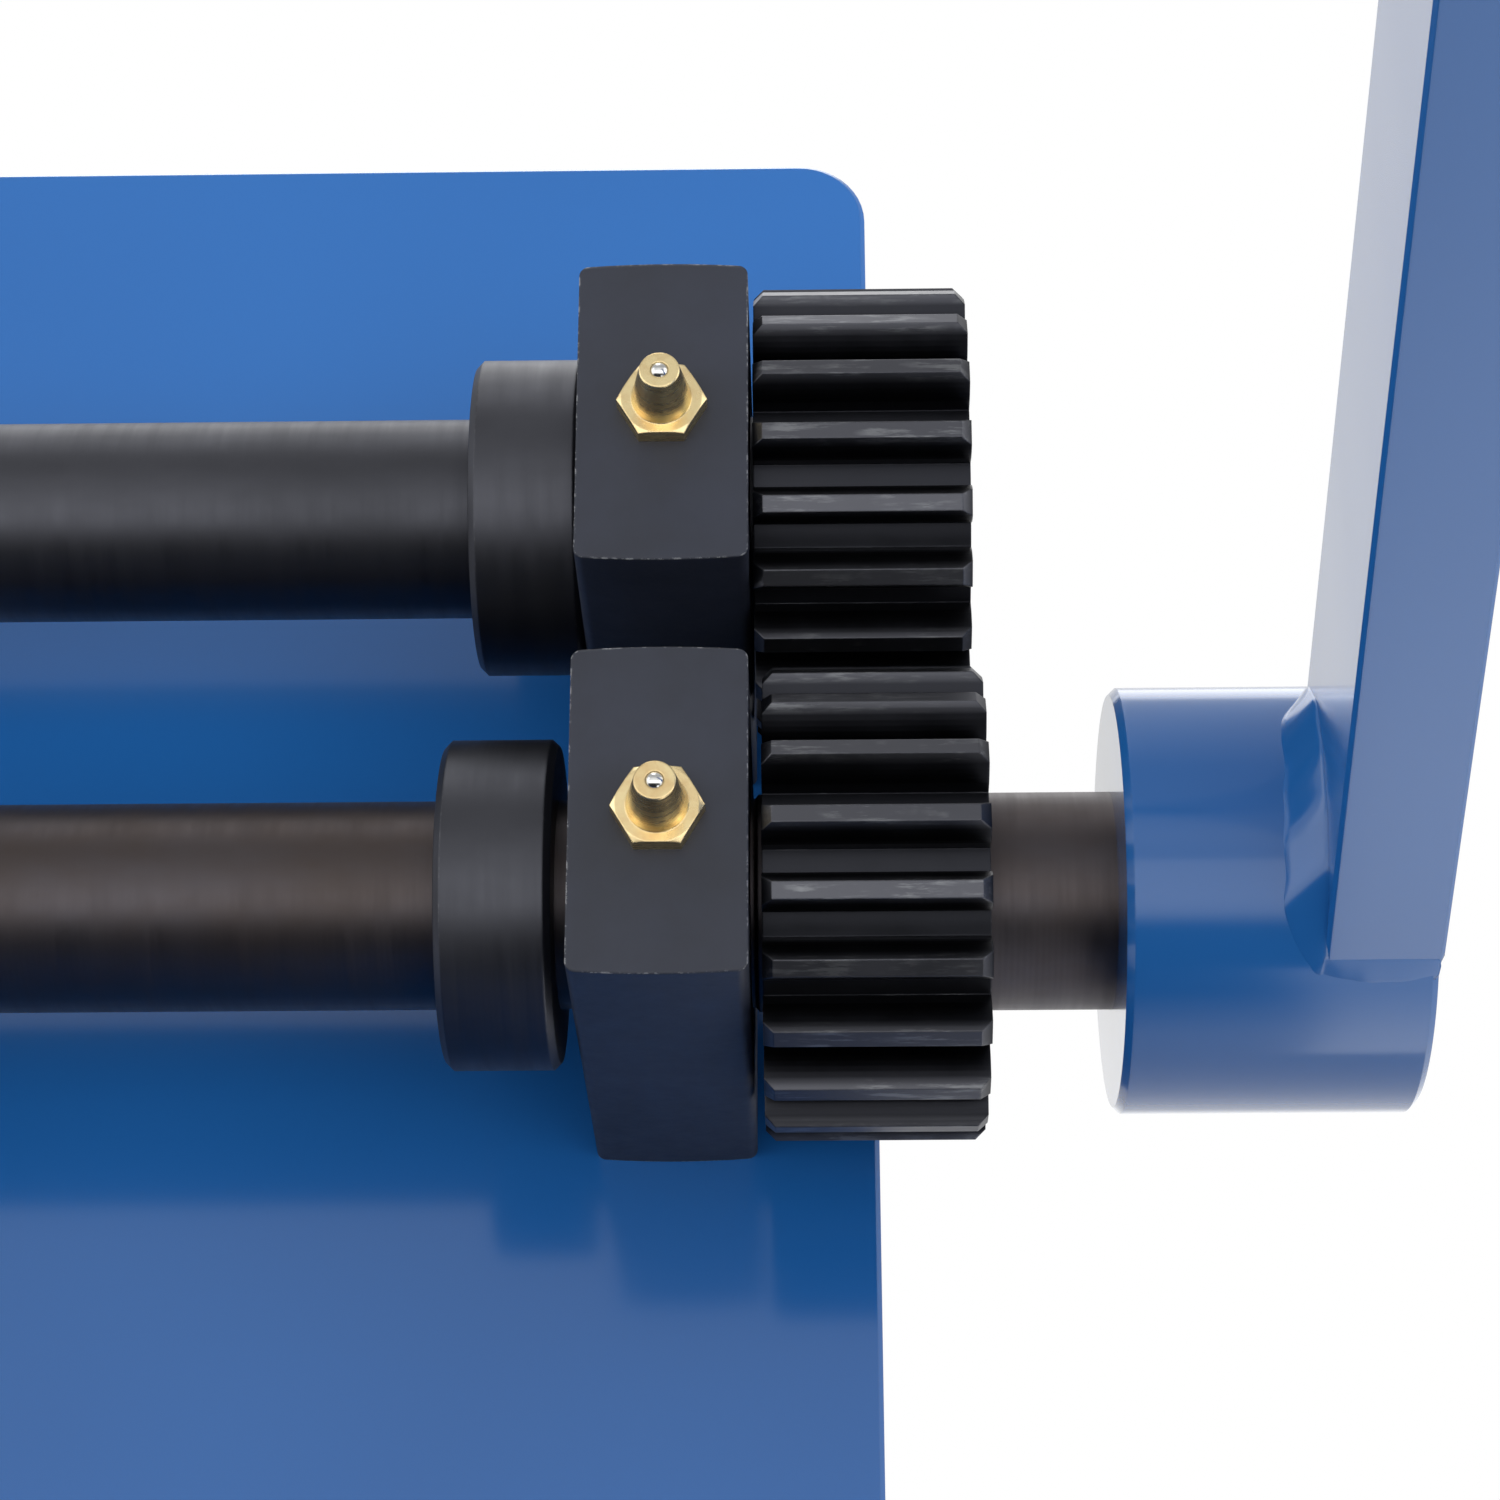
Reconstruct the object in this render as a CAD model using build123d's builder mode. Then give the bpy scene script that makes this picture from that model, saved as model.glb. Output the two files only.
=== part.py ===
"""Manual bead roller: C-frame, two geared roll shafts, adjusting screw and crank.

Millimetres. +X runs along the shafts towards the crank, -Y is the operator side of the
frame plate, +Z is up. The origin is the middle of the bench bolt pattern, on the underside.
"""
import math
import os

from build123d import *

os.makedirs("parts", exist_ok=True)

# ---------------------------------------------------------------- shaft lines
AXIS_Y = -30.0
LOWER_Z = 265.0
SHAFT_SPACING = 50.5
UPPER_Z = LOWER_Z + SHAFT_SPACING
REAR_X = 150.0
FRONT_X = -355.0

# ---------------------------------------------------------------- frame and base
PLATE_FRONT_Y = 6.6
PLATE_T = 12.0
PLATE_BACK_Y = PLATE_FRONT_Y + PLATE_T
PLATE_REAR_X = 174.7
PLATE_TOP_Z = 390.6
JAW_TIP_X = -383.0
THROAT_X = 51.0
THROAT_LOW_Z = 271.0
THROAT_HIGH_Z = 311.0
BASE_LENGTH = 390.0
BASE_WIDTH = 200.0
BASE_T = 12.0
BENCH_HOLE_X = 330.0
BENCH_HOLE_Y = 150.0
BENCH_HOLE_D = 11.0

# ---------------------------------------------------------------- shafts and collars
JOURNAL_D = 24.0
CRANK_END_D = 25.0
ROLL_SEAT_D = 20.0
THREAD_D = 18.0
SHOULDER_X = REAR_X + 10.2
SEAT_X = -386.0
ROLL_W = 40.0
WASHER_T = 3.0
SHAFT_FRONT_X = SEAT_X - ROLL_W - WASHER_T - 16.0
COLLAR_D = 38.0
COLLAR_W = 13.0
LOWER_COLLAR_X = REAR_X - 25.2
UPPER_COLLAR_X = REAR_X - 22.9

# ---------------------------------------------------------------- bearing blocks
BLOCK_W = 19.6
BLOCK_H = 38.8
BLOCK_FRONT_Y = AXIS_Y - 26.4
BLOCK_CROWN = 0.4
LOWER_REAR_LIFT = 0.5
UPPER_REAR_DROP = 0.25
FRONT_BLOCK_W = 30.0
UPPER_FRONT_TOP = 29.0
SLIDE_GAP = 0.1
BUSH_OD = 28.0
BUSH_ID = 24.1

# grease nipples
HEX_AF = 9.0
HEX_T = 2.1
NIPPLE_OUT = 8.3
CONE_ROOT_R = 3.45
CONE_TIP_R = 2.3
LIP_R = 0.98
BALL_R = 1.15
BALL_SUNK = 0.65

# ---------------------------------------------------------------- gears
MODULE = 2.5
TEETH = 20
TIP_R = 27.2
ROOT_R = 21.7
FACE_W = 25.0
TOOTH_THINNING = 0.12
END_CHAMFER = 1.2
LOWER_GEAR_X = REAR_X + 11.2
UPPER_GEAR_X = REAR_X + 10.3
LOWER_TOOTH_DEG = -19.5
UPPER_TOOTH_DEG = -25.5
LOWER_KEY_DEG = 187.5
UPPER_KEY_DEG = 181.5

# ---------------------------------------------------------------- crank
HUB_X = REAR_X + 50.8
HUB_D = 48.8
HUB_L = 33.8
ARM_X = REAR_X + 72.0
ARM_T = 13.0
ARM_RISE_DEG = 25.7
ARM_FRONT = 22.2
ARM_BACK = -6.3
ARM_REACH = 215.0
ARM_MID = (ARM_FRONT + ARM_BACK) / 2
ARM_WIDTH = ARM_FRONT - ARM_BACK
GRIP_L = 105.0
GRIP_D = 30.0
SPINDLE_D = 12.0

# ---------------------------------------------------------------- adjusting screw
SCREW_D = 16.0
BRACKET_Z = 364.0
BRACKET_H = 24.0
PAD_FLANGE_D = 26.0
PAD_NECK_D = 18.0
PAD_FLOAT = 0.65
PAD_TOP_Z = UPPER_Z + UPPER_FRONT_TOP + 11.5
SCREW_HEAD_Z = 408.0
SCREW_HEAD_H = 20.0
SCREW_HEAD_D = 28.0
BAR_D = 10.0
BAR_L = 130.0
GUIDE_DEPTH = 21.0

LOWER_LINE = Axis((0, AXIS_Y, LOWER_Z), (1, 0, 0))
UPPER_LINE = Axis((0, AXIS_Y, UPPER_Z), (1, 0, 0))


# ---------------------------------------------------------------- shared helpers
def side_plane(z):
    """Plane through a shaft line with local x along +X and local y along +Z."""
    return Plane(origin=(0, AXIS_Y, z), x_dir=(1, 0, 0), z_dir=(0, -1, 0))


def end_plane(x, z):
    """Plane square to a shaft line at height z: local x along +Y, local y along +Z."""
    return Plane(origin=(x, AXIS_Y, z), x_dir=(0, 1, 0), z_dir=(1, 0, 0))


def spoke_plane(x, z, degrees, radius):
    """Plane whose normal points out from a shaft line; degrees run from -Y towards +Z."""
    turn = math.radians(degrees)
    out = (0, -math.cos(turn), math.sin(turn))
    origin = (x, AXIS_Y + radius * out[1], z + radius * out[2])
    return Plane(origin=origin, x_dir=(1, 0, 0), z_dir=out)


def save(build, name):
    """Label a finished sub-part and write it to its own file."""
    build.part.label = name
    export_step(build.part, f"parts/{name}.step")


def turn_about(line, z, outline):
    """Solid turned about a shaft line from (x, radius) corners that start and end on it."""
    with BuildPart() as turned:
        with BuildSketch(side_plane(z)):
            with BuildLine():
                Polyline(*outline, close=True)
            make_face()
        revolve(axis=line)
    return turned


def bored_disc(x, z, outer_d, bore_d, width, edge):
    """Disc on a shaft line with a through bore and broken outer edges."""
    with BuildPart() as disc:
        with BuildSketch(end_plane(x, z)):
            Circle(outer_d / 2)
            Circle(bore_d / 2, mode=Mode.SUBTRACT)
        extrude(amount=width)
        rims = disc.edges().filter_by(GeomType.CIRCLE).filter_by(
            lambda e: abs(e.radius - outer_d / 2) < 0.01)
        chamfer(rims, length=edge)
    return disc


def cut_keyway(x, length, z, degrees, width, floor_r, roof_r):
    """Cut a keyway from floor_r out to roof_r in the part being built."""
    with BuildSketch(spoke_plane(x + length / 2, z, degrees, floor_r)) as outline:
        Rectangle(length, width)
    extrude(outline.sketch, amount=roof_r - floor_r, mode=Mode.SUBTRACT)


def corner(sketch, x, z):
    """Vertex of an upright sketch nearest to (x, z), which are its own two directions."""
    return sketch.vertices().sort_by(lambda v: math.hypot(v.X - x, v.Y - z))[0]


# ---------------------------------------------------------------- frame plate
def build_frame_plate():
    tip_low = LOWER_Z - 42
    stem_front = -190.0
    upright = Plane(origin=(0, PLATE_BACK_Y, 0), x_dir=(1, 0, 0), z_dir=(0, -1, 0))
    with BuildPart() as plate:
        with BuildSketch(upright) as outline:
            with BuildLine():
                Polyline(
                    (PLATE_REAR_X, BASE_T),
                    (PLATE_REAR_X, PLATE_TOP_Z),
                    (JAW_TIP_X, PLATE_TOP_Z),
                    (JAW_TIP_X, THROAT_HIGH_Z),
                    (THROAT_X, THROAT_HIGH_Z),
                    (THROAT_X, THROAT_LOW_Z),
                    (JAW_TIP_X, THROAT_LOW_Z),
                    (JAW_TIP_X, tip_low),
                    (stem_front - 40, LOWER_Z - 85),
                    (stem_front, BASE_T),
                    close=True,
                )
            make_face()
            outer = [
                corner(outline, PLATE_REAR_X, PLATE_TOP_Z),
                corner(outline, JAW_TIP_X, PLATE_TOP_Z),
                corner(outline, JAW_TIP_X, tip_low),
            ]
            fillet(outer, radius=9)
            throat = [
                corner(outline, THROAT_X, THROAT_HIGH_Z),
                corner(outline, THROAT_X, THROAT_LOW_Z),
            ]
            fillet(throat, radius=14)
            fillet(corner(outline, stem_front - 40, LOWER_Z - 85), radius=40)
        extrude(amount=PLATE_T)
        with Locations(upright):
            with Locations(
                (REAR_X, LOWER_Z + LOWER_REAR_LIFT + 11),
                (REAR_X, LOWER_Z + LOWER_REAR_LIFT - 11),
                (FRONT_X, LOWER_Z - 26),
                (FRONT_X - 9, LOWER_Z - 8.5),
                (FRONT_X + 9, LOWER_Z - 8.5),
                *guide_bolt_points(),
            ):
                Hole(radius=4.05)
            with Locations((REAR_X, UPPER_Z - UPPER_REAR_DROP)):
                Hole(radius=6.05)
            with Locations((FRONT_X - 13, BRACKET_Z + 12), (FRONT_X + 13, BRACKET_Z + 12)):
                Hole(radius=5.05)
        edges = plate.faces().filter_by(Axis.Y).edges().filter_by(
            lambda e: e.geom_type == GeomType.LINE)
        chamfer(edges.filter_by(lambda e: e.center().Z > BASE_T + 1), length=0.6)
    save(plate, "frame_plate")


def guide_bolt_points():
    """Bolt centres of the two guide cheeks."""
    sides = (FRONT_X - FRONT_BLOCK_W / 2 - 5.2, FRONT_X + FRONT_BLOCK_W / 2 + 5.2)
    return [(x, z) for x in sides for z in (UPPER_Z + 4, UPPER_Z + 34)]


# ---------------------------------------------------------------- base
def build_base():
    with BuildPart() as base:
        with BuildSketch() as outline:
            Rectangle(BASE_LENGTH, BASE_WIDTH)
            fillet(outline.vertices(), radius=14)
        extrude(amount=BASE_T)
        with Locations(Plane.XY.offset(BASE_T)):
            with GridLocations(BENCH_HOLE_X, BENCH_HOLE_Y, 2, 2):
                Hole(radius=BENCH_HOLE_D / 2)
        top = base.faces().sort_by(Axis.Z)[-1].outer_wire().edges()
        chamfer(top, length=1.0)
    save(base, "base_plate")

    with BuildPart() as gussets:
        for x in (-140.0, 120.0):
            for face_y, way in ((PLATE_FRONT_Y, -1), (PLATE_BACK_Y, 1)):
                with BuildSketch(Plane(origin=(x, face_y, BASE_T), x_dir=(0, way, 0), z_dir=(way, 0, 0))):
                    with BuildLine():
                        Polyline((0, 0), (62, 0), (62, 12), (12, 110), (0, 110), close=True)
                    make_face()
                extrude(amount=8 * way)
    save(gussets, "base_gussets")


# ---------------------------------------------------------------- bearing blocks
def block_body(x, z_low, z_high, width, back_y):
    """Crowned block between two heights, reaching from its front face to back_y."""
    with BuildSketch(Plane(origin=(x, back_y, 0), x_dir=(1, 0, 0), z_dir=(0, -1, 0))) as face:
        half = width / 2
        with BuildLine():
            Line((-half, z_low + BLOCK_CROWN), (-half, z_high - BLOCK_CROWN))
            ThreePointArc((-half, z_high - BLOCK_CROWN), (0, z_high), (half, z_high - BLOCK_CROWN))
            Line((half, z_high - BLOCK_CROWN), (half, z_low + BLOCK_CROWN))
            ThreePointArc((half, z_low + BLOCK_CROWN), (0, z_low), (-half, z_low + BLOCK_CROWN))
        make_face()
        fillet(face.vertices(), radius=1.2)
    extrude(face.sketch, amount=back_y - BLOCK_FRONT_Y)


def bore_block(x, z, width, nipple_z):
    """Bush seat and the threaded hole of the grease nipple."""
    with BuildSketch(end_plane(x - width, z)) as bush_seat:
        Circle(BUSH_OD / 2)
    extrude(bush_seat.sketch, amount=2 * width, mode=Mode.SUBTRACT)
    mouth = Plane(origin=(x, BLOCK_FRONT_Y, nipple_z), x_dir=(1, 0, 0), z_dir=(0, 1, 0))
    with BuildSketch(mouth) as nipple_hole:
        Circle(3.0)
    extrude(nipple_hole.sketch, amount=14, mode=Mode.SUBTRACT)


def tap_from_back(points, depth, radius, back_y):
    """Blind holes from the back face towards -Y."""
    with Locations(Plane(origin=(0, back_y, 0), x_dir=(1, 0, 0), z_dir=(0, -1, 0))):
        with Locations(*points):
            Cylinder(radius, depth, align=(Align.CENTER, Align.CENTER, Align.MIN), mode=Mode.SUBTRACT)


def lower_rear_bolts():
    mid = LOWER_Z + LOWER_REAR_LIFT
    return [(REAR_X, mid + 11), (REAR_X, mid - 11)]


def lower_front_bolts():
    return [(FRONT_X - 9, LOWER_Z - 8.5), (FRONT_X + 9, LOWER_Z - 8.5), (FRONT_X, LOWER_Z - 26)]


def build_blocks():
    mid = LOWER_Z + LOWER_REAR_LIFT
    with BuildPart() as lower_rear:
        block_body(REAR_X, mid - BLOCK_H / 2, mid + BLOCK_H / 2, BLOCK_W, PLATE_FRONT_Y)
        bore_block(REAR_X, LOWER_Z, BLOCK_W, LOWER_Z)
        tap_from_back(lower_rear_bolts(), 15, 4.0, PLATE_FRONT_Y)
    save(lower_rear, "lower_rear_block")

    with BuildPart() as lower_front:
        block_body(FRONT_X, LOWER_Z - 34, LOWER_Z + BLOCK_H / 2, FRONT_BLOCK_W, PLATE_FRONT_Y)
        bore_block(FRONT_X, LOWER_Z, FRONT_BLOCK_W, LOWER_Z)
        tap_from_back(lower_front_bolts(), 15, 4.0, PLATE_FRONT_Y)
    save(lower_front, "lower_front_block")

    slide_y = PLATE_FRONT_Y - SLIDE_GAP
    pivot_z = UPPER_Z - UPPER_REAR_DROP
    with BuildPart() as upper_rear:
        block_body(REAR_X, pivot_z - BLOCK_H / 2, pivot_z + BLOCK_H / 2, BLOCK_W, slide_y)
        bore_block(REAR_X, UPPER_Z, BLOCK_W, UPPER_Z)
        tap_from_back([(REAR_X, pivot_z)], 18, 6.0, slide_y)
    save(upper_rear, "upper_rear_block")

    block_top = UPPER_Z + UPPER_FRONT_TOP
    with BuildPart() as upper_front:
        block_body(FRONT_X, UPPER_Z - BLOCK_H / 2, block_top, FRONT_BLOCK_W, slide_y)
        bore_block(FRONT_X, UPPER_Z, FRONT_BLOCK_W, UPPER_Z)
        with BuildSketch(Plane.XY.offset(block_top - BLOCK_CROWN)):
            with Locations((FRONT_X, AXIS_Y)):
                Rectangle(FRONT_BLOCK_W + 2, 80)
        extrude(amount=2, mode=Mode.SUBTRACT)
        with BuildSketch(Plane.XY.offset(block_top - BLOCK_CROWN)):
            with Locations((FRONT_X, AXIS_Y)):
                Circle(PAD_FLANGE_D / 2 + PAD_FLOAT)
        extrude(amount=-5, mode=Mode.SUBTRACT)
        with BuildSketch(Plane.XY.offset(block_top)):
            with Locations(*keeper_screw_points()):
                Circle(2.5)
        extrude(amount=-12, mode=Mode.SUBTRACT)
    save(upper_front, "upper_front_block")


def build_bushes():
    def bush(x, z, width):
        with BuildSketch(end_plane(x - width / 2, z)) as ring:
            Circle(BUSH_OD / 2)
            Circle(BUSH_ID / 2, mode=Mode.SUBTRACT)
        extrude(ring.sketch, amount=width)
        with BuildSketch(spoke_plane(x, z, 0, 0)) as oil_hole:
            Circle(1.5)
        extrude(oil_hole.sketch, amount=BUSH_OD, mode=Mode.SUBTRACT)

    with BuildPart() as lower:
        bush(REAR_X, LOWER_Z, BLOCK_W)
    with BuildPart() as lower_far:
        bush(FRONT_X, LOWER_Z, FRONT_BLOCK_W)
    with BuildPart() as upper:
        bush(REAR_X, UPPER_Z, BLOCK_W)
    with BuildPart() as upper_far:
        bush(FRONT_X, UPPER_Z, FRONT_BLOCK_W)
    for name, near, far in (("lower_bushes", lower, lower_far), ("upper_bushes", upper, upper_far)):
        with BuildPart() as pair:
            add(near.part)
            add(far.part)
        save(pair, name)


# ---------------------------------------------------------------- grease nipples
def nipple(x, z):
    """Threaded shank, hexagon and conical head, pointing towards -Y."""
    face = Plane(origin=(x, BLOCK_FRONT_Y, z), x_dir=(1, 0, 0), z_dir=(0, -1, 0))
    head = Plane(origin=(x, BLOCK_FRONT_Y, z), x_dir=(1, 0, 0), z_dir=(0, 0, 1))
    line = Axis((x, 0, z), (0, 1, 0))
    corner_r = HEX_AF / math.sqrt(3)
    with BuildSketch(face) as hexagon:
        RegularPolygon(radius=HEX_AF / 2, side_count=6, major_radius=False)
    extrude(hexagon.sketch, amount=HEX_T)
    with BuildSketch(head) as corner_cut:
        with BuildLine():
            Polyline(
                (HEX_AF / 2 - 0.1, -HEX_T - 0.1),
                (corner_r + 0.2, -HEX_T - 0.1),
                (corner_r + 0.2, -HEX_T + 0.5),
                close=True,
            )
        make_face()
    revolve(corner_cut.sketch, axis=line, mode=Mode.SUBTRACT)
    with BuildSketch(face.offset(-6)) as shank:
        Circle(3.0)
    extrude(shank.sketch, amount=6.0 + HEX_T / 2)
    with BuildSketch(head) as cone:
        with BuildLine():
            Polyline(
                (0, -HEX_T + 0.5),
                (CONE_ROOT_R, -HEX_T + 0.5),
                (CONE_ROOT_R, -HEX_T),
                (CONE_TIP_R, -NIPPLE_OUT + 0.12),
                (CONE_TIP_R - 0.12, -NIPPLE_OUT),
                (0, -NIPPLE_OUT),
                close=True,
            )
        make_face()
    revolve(cone.sketch, axis=line)
    with BuildSketch(head) as ball_seat:
        with BuildLine():
            Polyline(
                (0, -NIPPLE_OUT),
                (LIP_R, -NIPPLE_OUT),
                (LIP_R + 0.27, -NIPPLE_OUT + 0.5),
                (LIP_R + 0.27, -NIPPLE_OUT + 2.4),
                (0.6, -NIPPLE_OUT + 2.4),
                (0.6, 6.5),
                (0, 6.5),
                close=True,
            )
        make_face()
    revolve(ball_seat.sketch, axis=line, mode=Mode.SUBTRACT)


def build_nipples():
    for name, z in (("lower", LOWER_Z), ("upper", UPPER_Z)):
        halves = []
        for x in (REAR_X, FRONT_X):
            with BuildPart() as one:
                nipple(x, z)
            halves.append(one.part)
        with BuildPart() as bodies:
            add(halves)
        save(bodies, f"{name}_nipples")
        with BuildPart() as balls:
            ball_y = BLOCK_FRONT_Y - NIPPLE_OUT + BALL_SUNK
            with Locations((REAR_X, ball_y, z), (FRONT_X, ball_y, z)):
                Sphere(BALL_R)
        save(balls, f"{name}_nipple_balls")


# ---------------------------------------------------------------- bolts from behind
def hex_bolt(x, z, shank_r, grip, across, head_h, washer_r, washer_t):
    """Bolt put in from behind the plate, pointing towards -Y, with its washer."""
    seat = Plane(origin=(x, PLATE_BACK_Y, z), x_dir=(1, 0, 0), z_dir=(0, 1, 0))
    with BuildSketch(seat.offset(-grip)) as shank:
        Circle(shank_r)
    extrude(shank.sketch, amount=grip + washer_t)
    with BuildSketch(seat) as washer:
        Circle(washer_r)
    extrude(washer.sketch, amount=washer_t)
    with BuildSketch(seat.offset(washer_t)) as bolt_head:
        RegularPolygon(radius=across / 2, side_count=6, major_radius=False)
    extrude(bolt_head.sketch, amount=head_h)


def build_bolts():
    sets = (
        ("lower_block_bolts", lower_rear_bolts() + lower_front_bolts(), 4.0, 26.0, 13.0, 5.3, 8.0, 1.6),
        ("guide_bolts", guide_bolt_points(), 4.0, 26.0, 13.0, 5.3, 8.0, 1.6),
        (
            "bracket_bolts",
            [(FRONT_X - 13, BRACKET_Z + 12), (FRONT_X + 13, BRACKET_Z + 12)],
            5.0,
            32.0,
            16.0,
            6.4,
            10.0,
            2.0,
        ),
    )
    for name, points, shank_r, grip, across, head_h, washer_r, washer_t in sets:
        with BuildPart() as bolts:
            for x, z in points:
                hex_bolt(x, z, shank_r, grip, across, head_h, washer_r, washer_t)
        save(bolts, name)

    seat = Plane(origin=(REAR_X, PLATE_BACK_Y, UPPER_Z - UPPER_REAR_DROP), x_dir=(1, 0, 0), z_dir=(0, 1, 0))
    with BuildPart() as pivot:
        with BuildSketch(seat.offset(-PLATE_T - 17)):
            Circle(6.0)
        extrude(amount=PLATE_T + 17 + 2.1)
        with BuildSketch(seat.offset(SLIDE_GAP)):
            Circle(12.0)
        extrude(amount=2.0)
        with BuildSketch(seat.offset(2.1)):
            RegularPolygon(radius=9.5, side_count=6, major_radius=False)
        extrude(amount=7.5)
    save(pivot, "upper_pivot_bolt")


# ---------------------------------------------------------------- front guide and bracket
def build_guides():
    gap = 0.5
    with BuildPart() as guides:
        for way in (-1, 1):
            inner = FRONT_X + way * (FRONT_BLOCK_W / 2 + gap)
            with Locations((inner + way * 4.75, PLATE_FRONT_Y - GUIDE_DEPTH / 2, UPPER_Z + 18)):
                Box(9.5, GUIDE_DEPTH, 50)
        long_edges = guides.edges().filter_by(Axis.Z)
        chamfer(long_edges.group_by(Axis.Y)[0], length=1.0)
        tap_from_back(guide_bolt_points(), 15, 4.0, PLATE_FRONT_Y)
    save(guides, "front_guides")

    with BuildPart() as bracket:
        with BuildSketch(Plane.XY.offset(BRACKET_Z)) as outline:
            with BuildLine():
                Polyline(
                    (FRONT_X - 24, PLATE_FRONT_Y),
                    (FRONT_X - 24, -22),
                    (FRONT_X - 15, -52),
                    (FRONT_X + 15, -52),
                    (FRONT_X + 24, -22),
                    (FRONT_X + 24, PLATE_FRONT_Y),
                    close=True,
                )
            make_face()
            front = outline.vertices().group_by(Axis.Y)[0]
            fillet(front, radius=8)
        extrude(amount=BRACKET_H)
        with BuildSketch(Plane.XY.offset(BRACKET_Z)):
            with Locations((FRONT_X, AXIS_Y)):
                Circle(SCREW_D / 2 + 0.05)
        extrude(amount=BRACKET_H, mode=Mode.SUBTRACT)
        rims = bracket.edges().filter_by(GeomType.CIRCLE).filter_by(
            lambda e: abs(e.radius - SCREW_D / 2 - 0.05) < 0.01)
        chamfer(rims, length=1.0)
        tap_from_back(
            [(FRONT_X - 13, BRACKET_Z + 12), (FRONT_X + 13, BRACKET_Z + 12)], 21, 5.0, PLATE_FRONT_Y)
    save(bracket, "screw_bracket")


# ---------------------------------------------------------------- shafts
def build_shafts():
    seat_r = ROLL_SEAT_D / 2
    end_x = HUB_X + HUB_L - 1.0
    thread_x = SEAT_X - ROLL_W
    lower = turn_about(LOWER_LINE, LOWER_Z, [
        (SHAFT_FRONT_X, 0),
        (SHAFT_FRONT_X, THREAD_D / 2 - 1.2),
        (SHAFT_FRONT_X + 1.2, THREAD_D / 2),
        (thread_x, THREAD_D / 2),
        (thread_x, seat_r),
        (SEAT_X, seat_r),
        (SEAT_X, JOURNAL_D / 2 - 0.6),
        (SEAT_X + 0.6, JOURNAL_D / 2),
        (SHOULDER_X, JOURNAL_D / 2),
        (SHOULDER_X + 0.4, CRANK_END_D / 2),
        (end_x - 1.0, CRANK_END_D / 2),
        (end_x, CRANK_END_D / 2 - 1.0),
        (end_x, 0),
    ])
    with BuildPart() as lower_shaft:
        add(lower.part)
        cut_keyway(LOWER_GEAR_X + 2, FACE_W - 4, LOWER_Z, LOWER_KEY_DEG, 8, 8.5, 14)
        cut_keyway(HUB_X + 4, 25, LOWER_Z, LOWER_KEY_DEG, 8, 8.5, 14)
        cut_keyway(SEAT_X - ROLL_W + 4, ROLL_W - 8, LOWER_Z, LOWER_KEY_DEG, 6, 6.5, 11)
    save(lower_shaft, "lower_shaft")

    gear_end = UPPER_GEAR_X + FACE_W
    upper = turn_about(UPPER_LINE, UPPER_Z, [
        (SHAFT_FRONT_X, 0),
        (SHAFT_FRONT_X, THREAD_D / 2 - 1.2),
        (SHAFT_FRONT_X + 1.2, THREAD_D / 2),
        (thread_x, THREAD_D / 2),
        (thread_x, seat_r),
        (SEAT_X, seat_r),
        (SEAT_X, JOURNAL_D / 2 - 0.6),
        (SEAT_X + 0.6, JOURNAL_D / 2),
        (gear_end - 1.0, JOURNAL_D / 2),
        (gear_end, JOURNAL_D / 2 - 1.0),
        (gear_end, 0),
    ])
    with BuildPart() as upper_shaft:
        add(upper.part)
        cut_keyway(UPPER_GEAR_X + 2, FACE_W - 4, UPPER_Z, UPPER_KEY_DEG, 8, 8.0, 14)
        cut_keyway(SEAT_X - ROLL_W + 4, ROLL_W - 8, UPPER_Z, UPPER_KEY_DEG, 6, 6.5, 11)
    save(upper_shaft, "upper_shaft")


def build_keys():
    def key(x, length, z, degrees, width, floor_r, height):
        with BuildSketch(spoke_plane(x + length / 2, z, degrees, floor_r)) as top_view:
            Rectangle(length, width)
        extrude(top_view.sketch, amount=height)

    with BuildPart() as lower_keys:
        key(LOWER_GEAR_X + 2, FACE_W - 4, LOWER_Z, LOWER_KEY_DEG, 8, 8.5, 7)
        key(HUB_X + 4, 25, LOWER_Z, LOWER_KEY_DEG, 8, 8.5, 7)
        key(SEAT_X - ROLL_W + 4, ROLL_W - 8, LOWER_Z, LOWER_KEY_DEG, 6, 6.5, 6)
    save(lower_keys, "lower_shaft_keys")

    with BuildPart() as upper_keys:
        key(UPPER_GEAR_X + 2, FACE_W - 4, UPPER_Z, UPPER_KEY_DEG, 8, 8.0, 7)
        key(SEAT_X - ROLL_W + 4, ROLL_W - 8, UPPER_Z, UPPER_KEY_DEG, 6, 6.5, 6)
    save(upper_keys, "upper_shaft_keys")


# ---------------------------------------------------------------- collars and grub screws
def grub_hole(x, z, degrees, radius, inner_r, outer_r):
    """Radial threaded hole for a grub screw in the part being built."""
    with BuildSketch(spoke_plane(x, z, degrees, inner_r)) as outline:
        Circle(radius)
    extrude(outline.sketch, amount=outer_r - inner_r, mode=Mode.SUBTRACT)


def grub(x, z, degrees, radius, inner_r, length, socket):
    """Grub screw with a hexagon socket in its outer end."""
    with BuildSketch(spoke_plane(x, z, degrees, inner_r)) as shank:
        Circle(radius)
    extrude(shank.sketch, amount=length)
    with BuildSketch(spoke_plane(x, z, degrees, inner_r + length)) as key_socket:
        RegularPolygon(radius=socket / 2, side_count=6, major_radius=False)
    extrude(key_socket.sketch, amount=-length * 0.4, mode=Mode.SUBTRACT)


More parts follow.
